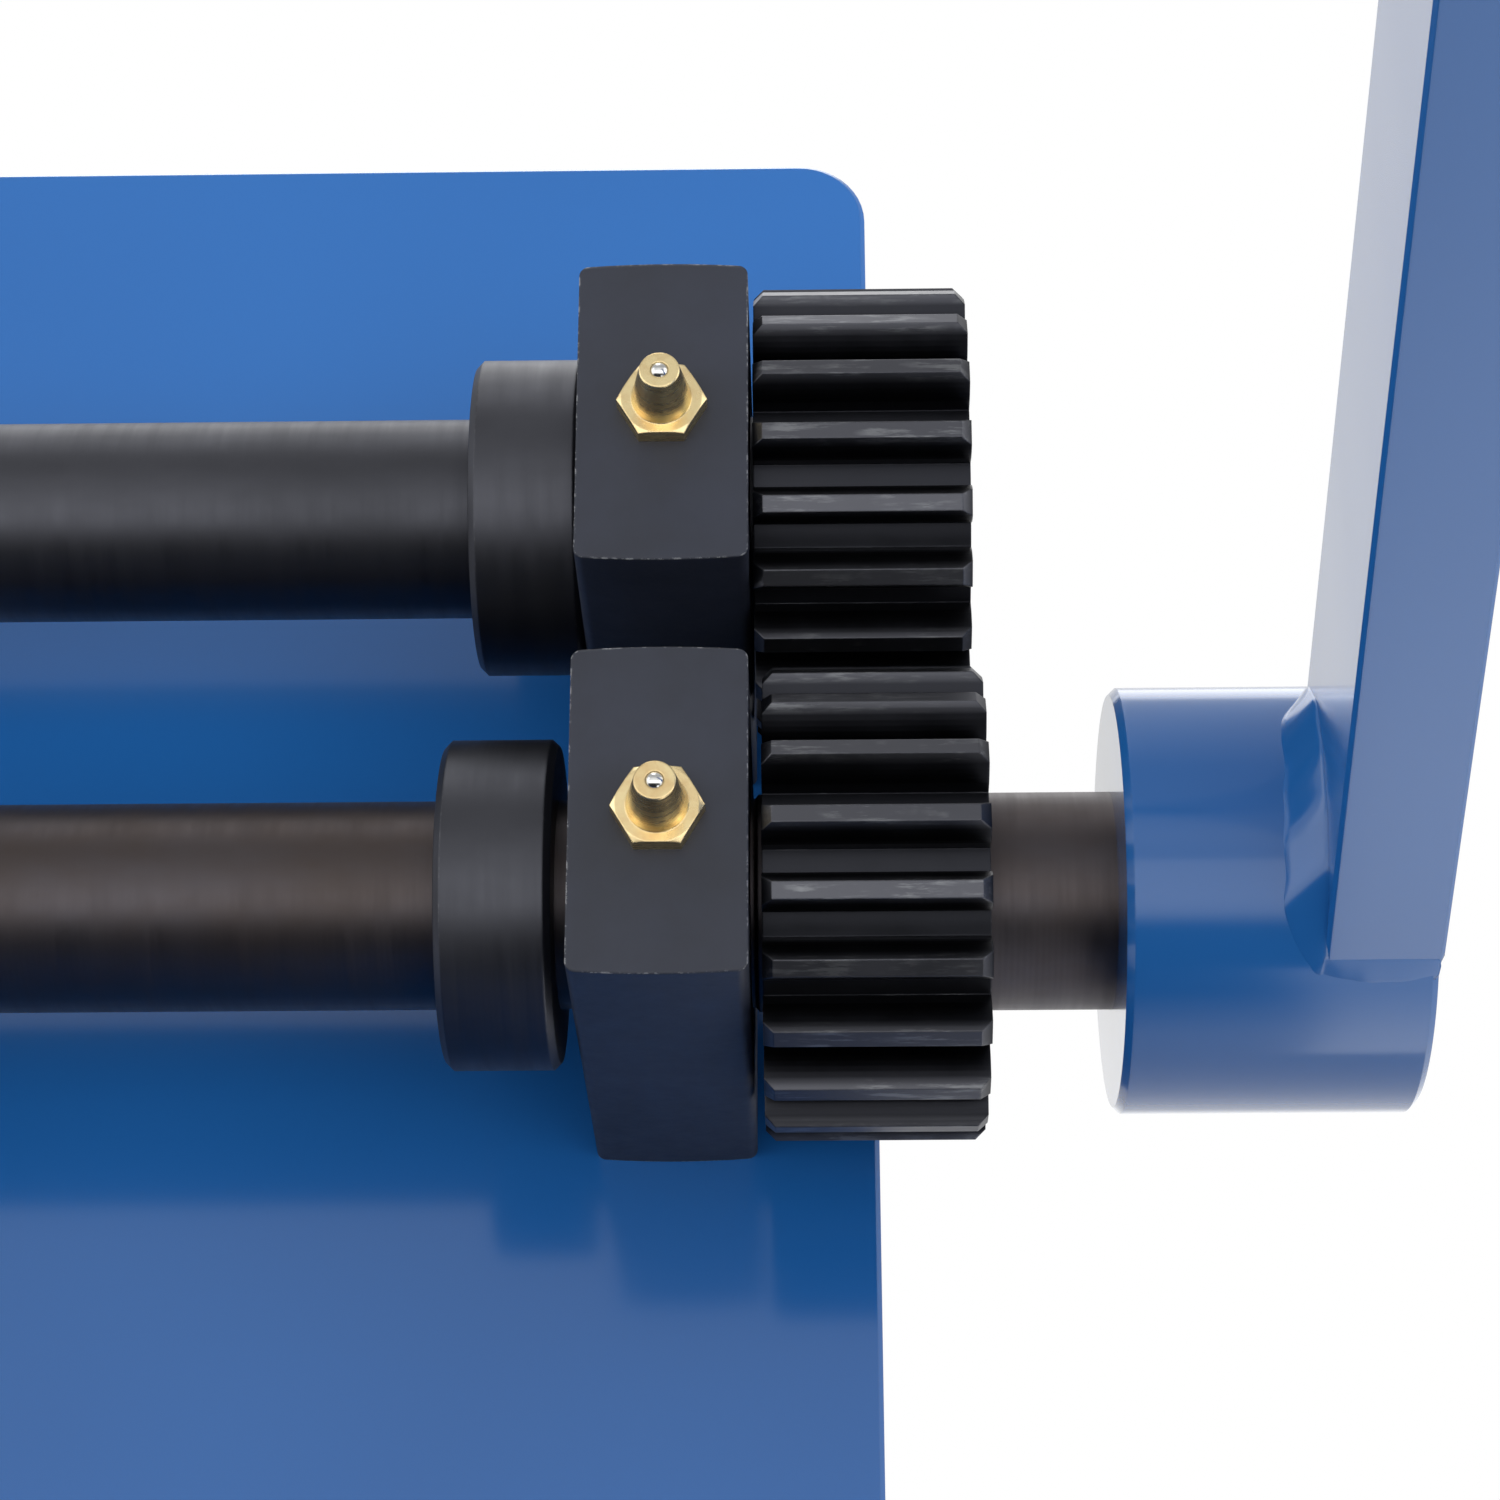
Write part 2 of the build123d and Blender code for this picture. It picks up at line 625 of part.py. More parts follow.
def build_collars():
    for name, x, z in (("lower_collar", LOWER_COLLAR_X, LOWER_Z), ("upper_collar", UPPER_COLLAR_X, UPPER_Z)):
        blank = bored_disc(x, z, COLLAR_D, JOURNAL_D, COLLAR_W, 0.8)
        with BuildPart() as collar:
            add(blank.part)
            grub_hole(x + COLLAR_W / 2, z, 180, 3.0, JOURNAL_D / 2 - 1, COLLAR_D / 2 + 1)
        save(collar, name)

    mid = COLLAR_W / 2
    with BuildPart() as lower_grubs:
        grub(LOWER_COLLAR_X + mid, LOWER_Z, 180, 3.0, JOURNAL_D / 2, 6, 3)
        grub(LOWER_GEAR_X + FACE_W / 2, LOWER_Z, LOWER_KEY_DEG, 2.5, 15.5, 5, 2.5)
        grub(HUB_X + 16, LOWER_Z, LOWER_KEY_DEG, 4.0, 15.5, 8, 4)
    save(lower_grubs, "lower_grub_screws")

    with BuildPart() as upper_grubs:
        grub(UPPER_COLLAR_X + mid, UPPER_Z, 180, 3.0, JOURNAL_D / 2, 6, 3)
        grub(UPPER_GEAR_X + FACE_W / 2, UPPER_Z, UPPER_KEY_DEG, 2.5, 15.0, 5, 2.5)
    save(upper_grubs, "upper_grub_screws")


# ---------------------------------------------------------------- gears
def tooth_face(degrees):
    """One involute tooth in the plane being sketched, pointing at the given angle."""
    pitch_r = MODULE * TEETH / 2
    base_r = pitch_r * math.cos(math.radians(20))
    inv = math.tan(math.radians(20)) - math.radians(20)
    half_pitch = (math.pi * MODULE / 2 - TOOTH_THINNING) / 2 / pitch_r

    def flank(radius):
        if radius <= base_r:
            return half_pitch + inv
        roll = math.acos(base_r / radius)
        return half_pitch + inv - (math.tan(roll) - roll)

    steps = 6
    radii = [base_r + (TIP_R - base_r) * i / steps for i in range(steps + 1)]
    aim = math.radians(degrees)

    def point(radius, offset):
        turn = aim + offset
        return (-radius * math.cos(turn), radius * math.sin(turn))

    side_a = [point(ROOT_R - 1.0, -flank(0))] + [point(r, -flank(r)) for r in radii]
    side_b = [point(r, flank(r)) for r in reversed(radii)] + [point(ROOT_R - 1.0, flank(0))]
    with BuildLine() as tooth:
        Polyline(*side_a, *side_b, close=True)
    make_face(tooth.line.edges())


def build_gear(name, x, z, bore_d, first_tooth, key_deg, key_floor):
    with BuildPart() as gear:
        with BuildSketch(end_plane(x, z)):
            Circle(ROOT_R)
            for index in range(TEETH):
                tooth_face(first_tooth + 360 / TEETH * index)
        extrude(amount=FACE_W)
        blank = bored_disc(x, z, 2 * TIP_R + 0.1, 2, FACE_W, END_CHAMFER)
        add(blank.part, mode=Mode.INTERSECT)
        with BuildSketch(end_plane(x, z)):
            Circle(bore_d / 2)
        extrude(amount=FACE_W, mode=Mode.SUBTRACT)
        cut_keyway(x - 1, FACE_W + 2, z, key_deg, 8, 5, key_floor + 7.2)
        grub_hole(x + FACE_W / 2, z, key_deg, 2.5, 10, TIP_R)
    save(gear, name)


def build_gears():
    build_gear("lower_gear", LOWER_GEAR_X, LOWER_Z, CRANK_END_D, LOWER_TOOTH_DEG, LOWER_KEY_DEG, 8.5)
    build_gear("upper_gear", UPPER_GEAR_X, UPPER_Z, JOURNAL_D, UPPER_TOOTH_DEG, UPPER_KEY_DEG, 8.0)


# ---------------------------------------------------------------- beading rolls
def build_rolls():
    back = SEAT_X - ROLL_W
    mid = SEAT_X - ROLL_W / 2
    seat_r = ROLL_SEAT_D / 2
    male = turn_about(UPPER_LINE, UPPER_Z, [
        (back, seat_r),
        (back, 20.5),
        (back + 1, 21.5),
        (mid - 7.5, 21.5),
        (mid - 4.5, 24.0),
        (mid - 2.5, 25.6),
        (mid + 2.5, 25.6),
        (mid + 4.5, 24.0),
        (mid + 7.5, 21.5),
        (SEAT_X - 9, 21.5),
        (SEAT_X - 8, 18.0),
        (SEAT_X - 0.2, 18.0),
        (SEAT_X - 0.2, seat_r),
    ])
    with BuildPart() as upper_roll:
        add(male.part)
        cut_keyway(back - 1, ROLL_W + 2, UPPER_Z, UPPER_KEY_DEG, 6, 5, 12.7)
    save(upper_roll, "upper_roll")

    female = turn_about(LOWER_LINE, LOWER_Z, [
        (back, seat_r),
        (back, 26.8),
        (back + 1, 27.8),
        (mid - 9, 27.8),
        (mid - 6, 25.2),
        (mid - 4, 23.6),
        (mid + 4, 23.6),
        (mid + 6, 25.2),
        (mid + 9, 27.8),
        (SEAT_X - 9, 27.8),
        (SEAT_X - 8, 18.0),
        (SEAT_X - 0.2, 18.0),
        (SEAT_X - 0.2, seat_r),
    ])
    with BuildPart() as lower_roll:
        add(female.part)
        cut_keyway(back - 1, ROLL_W + 2, LOWER_Z, LOWER_KEY_DEG, 6, 5, 12.7)
    save(lower_roll, "lower_roll")

    for name, z in (("lower", LOWER_Z), ("upper", UPPER_Z)):
        washer = bored_disc(back - WASHER_T, z, 34, THREAD_D, WASHER_T, 0.4)
        save(washer, f"{name}_roll_washer")
        with BuildPart() as nut:
            with BuildSketch(end_plane(back - WASHER_T - 12, z)):
                RegularPolygon(radius=13.5, side_count=6, major_radius=False)
                Circle(THREAD_D / 2, mode=Mode.SUBTRACT)
            extrude(amount=12)
            cone = bored_disc(back - WASHER_T - 12, z, 30.4, 2, 12, 1.4)
            add(cone.part, mode=Mode.INTERSECT)
            with BuildSketch(end_plane(back - WASHER_T - 12, z)):
                Circle(THREAD_D / 2)
            extrude(amount=12, mode=Mode.SUBTRACT)
        save(nut, f"{name}_roll_nut")


# ---------------------------------------------------------------- crank
def arm_plane(x):
    """Plane square to the shafts: local x up the arm, local y towards its front edge."""
    rise = math.radians(ARM_RISE_DEG)
    along = (0, -math.cos(rise), math.sin(rise))
    return Plane(origin=(x, AXIS_Y, LOWER_Z), x_dir=along, z_dir=(1, 0, 0))


def arm_point(x, along, across):
    """Point in the arm's own directions as global coordinates."""
    rise = math.radians(ARM_RISE_DEG)
    y = AXIS_Y - along * math.cos(rise) - across * math.sin(rise)
    z = LOWER_Z + along * math.sin(rise) - across * math.cos(rise)
    return (x, y, z)


def build_crank():
    blank = bored_disc(HUB_X, LOWER_Z, HUB_D, CRANK_END_D, HUB_L, 0.8)
    with BuildPart() as hub:
        add(blank.part)
        cut_keyway(HUB_X - 1, HUB_L + 2, LOWER_Z, LOWER_KEY_DEG, 8, 5, 15.7)
        grub_hole(HUB_X + 16, LOWER_Z, LOWER_KEY_DEG, 4.0, 11, HUB_D / 2 + 1)
    save(hub, "crank_hub")

    side = arm_plane(ARM_X)
    way = -1 if side.y_dir.Z > 0 else 1
    with BuildPart() as arm:
        with BuildSketch(side):
            with Locations((ARM_REACH / 2 + 4, way * ARM_MID)):
                Rectangle(ARM_REACH - 8, ARM_WIDTH)
            with Locations((ARM_REACH, way * ARM_MID)):
                Circle(ARM_WIDTH / 2)
            with Locations((ARM_REACH, way * ARM_MID)):
                Circle(SPINDLE_D / 2 - 1, mode=Mode.SUBTRACT)
            Circle(HUB_D / 2, mode=Mode.SUBTRACT)
        extrude(amount=ARM_T)
        flats = arm.faces().filter_by(Axis.X)
        outer = flats.edges().filter_by(lambda e: e.center().Y < AXIS_Y - 30)
        chamfer(outer.filter_by(GeomType.LINE), length=0.5)
    save(arm, "crank_arm")

    bead_r = 3.0
    front_s = math.sqrt((HUB_D / 2) ** 2 - ARM_FRONT ** 2)
    with BuildPart() as weld:
        path_r = HUB_D / 2
        low = math.degrees(math.atan2(ARM_FRONT, front_s))
        high = math.degrees(math.atan2(ARM_BACK, path_r))
        with BuildLine(arm_plane(ARM_X)) as path:
            CenterArc((0, 0), path_r, way * low, way * (high - low))
        with BuildSketch(Plane(path.line @ 0, z_dir=path.line % 0)):
            Circle(bead_r)
        sweep()
        low_end = arm_point(ARM_X + ARM_T / 2, front_s, ARM_FRONT)
        with Locations(Location(low_end, (0, 90, 0))):
            Cylinder(bead_r, ARM_T)
    with BuildPart() as trimmed:
        add(weld.part)
        add(hub.part, mode=Mode.SUBTRACT)
        add(arm.part, mode=Mode.SUBTRACT)
        with BuildSketch(end_plane(HUB_X + 1, LOWER_Z)):
            Circle(HUB_D / 2)
        extrude(amount=HUB_L, mode=Mode.SUBTRACT)
    save(trimmed, "crank_weld")

    tip = arm_point(0, ARM_REACH, ARM_MID)
    grip_line = Axis((0, tip[1], tip[2]), (1, 0, 0))
    grip_side = Plane(origin=(0, tip[1], tip[2]), x_dir=(1, 0, 0), z_dir=(0, -1, 0))
    outer_x = ARM_X + ARM_T
    with BuildPart() as spindle:
        with BuildSketch(grip_side):
            with BuildLine():
                Polyline(
                    (ARM_X - 11, 0),
                    (ARM_X - 11, SPINDLE_D / 2 - 1.8),
                    (ARM_X - 10.2, SPINDLE_D / 2 - 1),
                    (outer_x, SPINDLE_D / 2 - 1),
                    (outer_x, 9),
                    (outer_x + 3, 9),
                    (outer_x + 3, SPINDLE_D / 2),
                    (outer_x + 3.4 + GRIP_L, SPINDLE_D / 2),
                    (outer_x + 3.4 + GRIP_L, 9.5),
                    (outer_x + 5.9 + GRIP_L, 9.0),
                    (outer_x + 6.9 + GRIP_L, 6.0),
                    (outer_x + 6.9 + GRIP_L, 0),
                    close=True,
                )
            make_face()
        revolve(axis=grip_line)
    save(spindle, "grip_spindle")

    g0 = outer_x + 3.2
    with BuildPart() as grip:
        with BuildSketch(grip_side):
            with BuildLine():
                bore = SPINDLE_D / 2 + 0.08
                Line((g0, bore), (g0, 10.5))
                Spline(
                    (g0, 10.5),
                    (g0 + 12, 12.8),
                    (g0 + GRIP_L * 0.42, GRIP_D / 2),
                    (g0 + GRIP_L * 0.72, 13.2),
                    (g0 + GRIP_L - 6, 12.4),
                    (g0 + GRIP_L, 9.5),
                )
                Line((g0 + GRIP_L, 9.5), (g0 + GRIP_L, bore))
                Line((g0 + GRIP_L, bore), (g0, bore))
            make_face()
        revolve(axis=grip_line)
    save(grip, "grip_sleeve")

    with BuildPart() as grip_nut:
        nut_plane = Plane(origin=(ARM_X - 8.2, tip[1], tip[2]), x_dir=(0, 1, 0), z_dir=(1, 0, 0))
        with BuildSketch(nut_plane):
            RegularPolygon(radius=8, side_count=6, major_radius=False)
            Circle(SPINDLE_D / 2 - 1, mode=Mode.SUBTRACT)
        extrude(amount=6.7)
    with BuildPart() as grip_washer:
        with BuildSketch(nut_plane.offset(6.7)):
            Circle(10)
            Circle(SPINDLE_D / 2 - 1, mode=Mode.SUBTRACT)
        extrude(amount=1.5)
    save(grip_nut, "grip_nut")
    save(grip_washer, "grip_washer")


# ---------------------------------------------------------------- adjusting screw
def keeper_screw_points():
    return [(FRONT_X - 8.5, AXIS_Y + 17), (FRONT_X + 8.5, AXIS_Y + 17)]


def turned_upright(outline):
    """Solid turned about the screw's own line from (radius, z) corners."""
    with BuildPart() as turned:
        with BuildSketch(Plane(origin=(FRONT_X, AXIS_Y, 0), x_dir=(1, 0, 0), z_dir=(0, -1, 0))):
            with BuildLine():
                Polyline(*outline, close=True)
            make_face()
        revolve(axis=Axis((FRONT_X, AXIS_Y, 0), (0, 0, 1)))
    return turned


def build_screw():
    block_top = UPPER_Z + UPPER_FRONT_TOP - BLOCK_CROWN
    pocket_floor = block_top - 5
    flange_top = block_top - 0.25
    pilot_r = 5.0
    pilot_z = flange_top - 1.0
    pin_z = flange_top + 6.4
    neck_r = PAD_NECK_D / 2

    blank = turned_upright([
        (0, pocket_floor + 0.05),
        (3, pocket_floor + 0.05),
        (PAD_FLANGE_D / 2, pocket_floor + 0.3),
        (PAD_FLANGE_D / 2, flange_top),
        (neck_r, flange_top),
        (neck_r, PAD_TOP_Z - 0.6),
        (neck_r - 0.6, PAD_TOP_Z),
        (pilot_r + 0.05, PAD_TOP_Z),
        (pilot_r + 0.05, pilot_z - 0.05),
        (0, pilot_z - 0.05),
    ])
    pin_plane = Plane(origin=(FRONT_X - 10, AXIS_Y + pilot_r + 0.6, pin_z), x_dir=(0, 1, 0), z_dir=(1, 0, 0))
    with BuildPart() as pad:
        add(blank.part)
        with BuildSketch(pin_plane):
            Circle(1.5)
        extrude(amount=20, mode=Mode.SUBTRACT)
    save(pad, "swivel_pad")

    with BuildPart() as pin:
        with BuildSketch(pin_plane.offset(3.5)):
            Circle(1.5)
        extrude(amount=13)
    save(pin, "pad_pin")

    groove_r = pilot_r - 1.05
    shank = turned_upright([
        (0, pilot_z),
        (pilot_r - 0.6, pilot_z),
        (pilot_r, pilot_z + 0.6),
        (pilot_r, pin_z - 1.6),
        (groove_r, pin_z - 1.6),
        (groove_r, pin_z + 1.6),
        (pilot_r, pin_z + 1.6),
        (pilot_r, PAD_TOP_Z + 0.3),
        (SCREW_D / 2 - 1.2, PAD_TOP_Z + 0.3),
        (SCREW_D / 2, PAD_TOP_Z + 1.5),
        (SCREW_D / 2, SCREW_HEAD_Z),
        (SCREW_HEAD_D / 2 - 1, SCREW_HEAD_Z),
        (SCREW_HEAD_D / 2, SCREW_HEAD_Z + 1),
        (SCREW_HEAD_D / 2, SCREW_HEAD_Z + SCREW_HEAD_H - 1.5),
        (SCREW_HEAD_D / 2 - 1.5, SCREW_HEAD_Z + SCREW_HEAD_H),
        (0, SCREW_HEAD_Z + SCREW_HEAD_H),
    ])
    bar_z = SCREW_HEAD_Z + SCREW_HEAD_H / 2
    bar_plane = Plane(origin=(FRONT_X, AXIS_Y, bar_z), x_dir=(1, 0, 0), z_dir=(0, 1, 0))
    with BuildPart() as screw:
        add(shank.part)
        with BuildSketch(bar_plane.offset(-SCREW_HEAD_D)):
            Circle(BAR_D / 2 + 0.08)
        extrude(amount=2 * SCREW_HEAD_D, mode=Mode.SUBTRACT)
    save(screw, "adjusting_screw")

    with BuildPart() as bar:
        with BuildSketch(bar_plane.offset(-BAR_L / 2)):
            Circle(BAR_D / 2)
        extrude(amount=BAR_L)
    save(bar, "tommy_bar")

    with BuildPart() as caps:
        for way in (-1, 1):
            tip = bar_plane.offset(way * (BAR_L / 2 - 8))
            with BuildSketch(tip):
                Circle(8)
                Circle(BAR_D / 2, mode=Mode.SUBTRACT)
            extrude(amount=way * 8)
            with BuildSketch(bar_plane.offset(way * BAR_L / 2)):
                Circle(8)
            extrude(amount=way * 4)
        rims = caps.edges().filter_by(GeomType.CIRCLE).filter_by(lambda e: abs(e.radius - 8) < 0.01)
        outer = rims.filter_by(lambda e: abs(abs(e.center().Y - AXIS_Y) - BAR_L / 2) > 1)
        fillet(outer, radius=2.0)
    save(caps, "tommy_bar_caps")

    with BuildPart() as keeper:
        with BuildSketch(Plane.XY.offset(block_top)):
            with Locations((FRONT_X, AXIS_Y)):
                Rectangle(FRONT_BLOCK_W - 1, 46)
                Circle(neck_r + PAD_FLOAT, mode=Mode.SUBTRACT)
            with Locations((FRONT_X, AXIS_Y - 15)):
                Rectangle(PAD_NECK_D + 2 * PAD_FLOAT, 30, mode=Mode.SUBTRACT)
            with Locations(*keeper_screw_points()):
                Circle(2.5, mode=Mode.SUBTRACT)
        extrude(amount=4)
    save(keeper, "keeper_plate")

    with BuildPart() as screws:
        with BuildSketch(Plane.XY.offset(block_top - 11)):
            with Locations(*keeper_screw_points()):
                Circle(2.5)
        extrude(amount=15)
        with BuildSketch(Plane.XY.offset(block_top + 4)):
            with Locations(*keeper_screw_points()):
                Circle(4.25)
        extrude(amount=5)
        with BuildSketch(Plane.XY.offset(block_top + 9)):
            with Locations(*keeper_screw_points()):
                RegularPolygon(radius=2, side_count=6, major_radius=False)
        extrude(amount=-2.8, mode=Mode.SUBTRACT)
    save(screws, "keeper_screws")


build_frame_plate()
build_base()
build_blocks()
build_bushes()
build_nipples()
build_bolts()
build_guides()
build_shafts()
build_keys()
build_collars()
build_gears()
build_rolls()
build_crank()
build_screw()
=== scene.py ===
"""Looks of a hand-cranked bead roller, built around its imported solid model."""

from __future__ import annotations

import logging
import math
from collections.abc import Callable, Sequence
from dataclasses import dataclass, field
from enum import Enum

import bmesh
import bpy
from mathutils import Matrix, Vector

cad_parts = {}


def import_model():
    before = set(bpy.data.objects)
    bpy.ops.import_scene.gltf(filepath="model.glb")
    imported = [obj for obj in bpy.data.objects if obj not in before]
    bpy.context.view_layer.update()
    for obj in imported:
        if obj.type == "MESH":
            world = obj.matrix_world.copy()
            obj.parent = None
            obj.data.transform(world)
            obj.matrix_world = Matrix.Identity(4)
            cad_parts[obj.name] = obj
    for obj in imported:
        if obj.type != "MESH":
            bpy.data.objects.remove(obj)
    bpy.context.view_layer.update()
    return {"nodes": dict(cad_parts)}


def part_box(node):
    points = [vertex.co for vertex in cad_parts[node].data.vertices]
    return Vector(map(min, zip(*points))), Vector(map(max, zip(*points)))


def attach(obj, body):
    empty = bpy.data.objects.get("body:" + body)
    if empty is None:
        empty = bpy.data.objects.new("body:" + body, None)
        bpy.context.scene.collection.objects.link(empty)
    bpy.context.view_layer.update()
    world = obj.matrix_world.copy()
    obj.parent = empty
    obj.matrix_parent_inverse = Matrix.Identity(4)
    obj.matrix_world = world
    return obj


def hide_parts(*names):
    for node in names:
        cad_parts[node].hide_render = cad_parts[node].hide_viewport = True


LOG = logging.getLogger("bead_roller")
MM = 0.001
SHAFT_Y = -30 * MM
LOWER_Z = 265 * MM
UPPER_Z = 315.5 * MM
EDGE_SAMPLES = 6
WELD_GAP = 0.00001
Socket = bpy.types.NodeSocket
Tree = bpy.types.NodeTree
Value = Socket | float | Sequence[float]


# ------------------------------------------------------------------ small shared tools
def hex_colour(code: str, alpha: float = 1.0) -> tuple[float, float, float, float]:
    """Turn an sRGB hex colour into linear RGBA.

    Args:
        code: Six hex digits, with or without a leading hash.
        alpha: Opacity of the result.

    Returns:
        Linear red, green, blue and alpha.
    """
    digits = code.lstrip("#")
    parts = [int(digits[i : i + 2], 16) / 255 for i in (0, 2, 4)]
    linear = [c / 12.92 if c <= 0.04045 else ((c + 0.055) / 1.055) ** 2.4 for c in parts]
    return (linear[0], linear[1], linear[2], alpha)


def feed(tree: Tree, made: bpy.types.Node, inputs: dict[str | int, Value]) -> None:
    """Set a node's inputs, or link them to the sockets that feed them.

    Args:
        tree: Node tree that holds the node.
        made: Node whose inputs are set.
        inputs: Input name or index to a value, or to the socket that feeds it.
    """
    for key, value in inputs.items():
        socket = made.inputs[key]
        if isinstance(value, bpy.types.NodeSocket):
            tree.links.new(value, socket)
        else:
            socket.default_value = value


def node(
    tree: Tree, kind: str, inputs: dict[str | int, Value] | None = None, **settings: object
) -> bpy.types.Node:
    """Add one shader node with its settings, values and links.

    Args:
        tree: Node tree that receives the node.
        kind: Blender's type name without the "ShaderNode" prefix.
        inputs: Input name or index to a value, or to the socket that feeds it.
        **settings: Properties set on the node itself.

    Returns:
        The new node.
    """
    made = tree.nodes.new("ShaderNode" + kind)
    for name, value in settings.items():
        setattr(made, name, value)
    feed(tree, made, inputs or {})
    return made


def ramp(tree: Tree, source: Socket, stops: Sequence[tuple[float, float]]) -> Socket:
    """Reshape a value with a grey ramp.

    Args:
        tree: Node tree.
        source: Value to reshape.
        stops: Position and grey level of each stop.

    Returns:
        The reshaped value.
    """
    made = node(tree, "ValToRGB", {"Fac": source})
    band = made.color_ramp
    while len(band.elements) < len(stops):
        band.elements.new(0.5)
    for element, (place, level) in zip(band.elements, stops):
        element.position = place
        element.color = (level, level, level, 1.0)
    return made.outputs["Color"]


def maths(tree: Tree, operation: str, *values: Value) -> Socket:
    """Combine values with one arithmetic step.

    Args:
        tree: Node tree.
        operation: Blender's name for the operation.
        *values: Up to three numbers or sockets.

    Returns:
        The result.
    """
    return node(tree, "Math", dict(enumerate(values)), operation=operation).outputs[0]


def blend(tree: Tree, factor: Value, first: Value, second: Value) -> Socket:
    """Mix two colours by a factor.

    Args:
        tree: Node tree.
        factor: Share of the second colour.
        first: Colour at factor 0.
        second: Colour at factor 1.

    Returns:
        The mixed colour.
    """
    made = node(tree, "Mix", {0: factor, 6: first, 7: second}, data_type="RGBA")
    return made.outputs[2]


def noise(
    tree: Tree, place: Socket, size_mm: float, detail: float = 3.0, roughness: float = 0.5
) -> Socket:
    """Fractal noise whose features are about size_mm wide.

    Args:
        tree: Node tree.
        place: Coordinates in metres.
        size_mm: Width of a feature in millimetres.
        detail: Number of finer layers.
        roughness: Strength of the finer layers.

    Returns:
        The noise value.
    """
    scale = 1 / (size_mm * MM)
    inputs = {"Vector": place, "Scale": scale, "Detail": detail, "Roughness": roughness}
    return node(tree, "TexNoise", inputs).outputs["Fac"]


def stretched(tree: Tree, place: Socket, scale: tuple[float, float, float]) -> Socket:
    """Coordinates squeezed along chosen axes, so a pattern draws out into streaks."""
    return node(tree, "Mapping", {"Vector": place, "Scale": scale}).outputs[0]


def edge_mask(tree: Tree, radius_mm: float) -> Socket:
    """Value that rises from 0 on flat faces towards 1 on sharp outer and inner edges.

    Args:
        tree: Node tree.
        radius_mm: How far from an edge the value reaches, in millimetres.

    Returns:
        The mask.
    """
    worn = node(tree, "Bevel", {"Radius": radius_mm * MM}, samples=EDGE_SAMPLES).outputs[0]
    flat = node(tree, "NewGeometry").outputs["Normal"]
    meet = node(tree, "VectorMath", {0: worn, 1: flat}, operation="DOT_PRODUCT").outputs["Value"]
    return maths(tree, "SUBTRACT", 1.0, meet)


# ------------------------------------------------------------------ finishes
@dataclass(frozen=True)
class Finish:
    """Base of every finish: a named material with a principled shader.

    Attributes:
        name: Name of the material.
        slot: Material slot of the record that it belongs to; not used in this script.
    """

    name: str
    slot: str

    def dress(self, tree: Tree, place: Socket, shader: bpy.types.Node) -> None:
        """Add the finish's own nodes; each kind of finish has its own.

        Args:
            tree: Node tree of the material.
            place: Object coordinates in metres.
            shader: Principled shader to feed.
        """
        raise NotImplementedError

    def relief(
        self,
        tree: Tree,
        shader: bpy.types.Node,
        height: Socket,
        strength: float,
        depth_mm: float,
        soft_mm: float = 0.0,
    ) -> None:
        """Raise the surface by a pattern, over edges that look softly rounded.

        Args:
            tree: Node tree of the material.
            shader: Principled shader to feed.
            height: Pattern that gives the height.
            strength: Strength of the bump.
            depth_mm: Height of the pattern in millimetres.
            soft_mm: Radius of the soft edges in millimetres, or 0 for none.
        """
        inputs = {"Strength": strength, "Distance": depth_mm * MM, "Height": height}
        if soft_mm:
            soft = node(tree, "Bevel", {"Radius": soft_mm * MM}, samples=EDGE_SAMPLES)
            inputs["Normal"] = soft.outputs[0]
        feed(tree, shader, {"Normal": node(tree, "Bump", inputs).outputs[0]})

    def material(self) -> bpy.types.Material:
        """Build the material, or return it if it was built before.

        Returns:
            The material.
        """
        known = bpy.data.materials.get(self.name)
        if known is not None:
            return known
        made = bpy.data.materials.new(self.name)
        made.use_nodes = True
        tree = made.node_tree
        shader = tree.nodes["Principled BSDF"]
        place = node(tree, "TexCoord").outputs["Object"]
        self.dress(tree, place, shader)
        return made


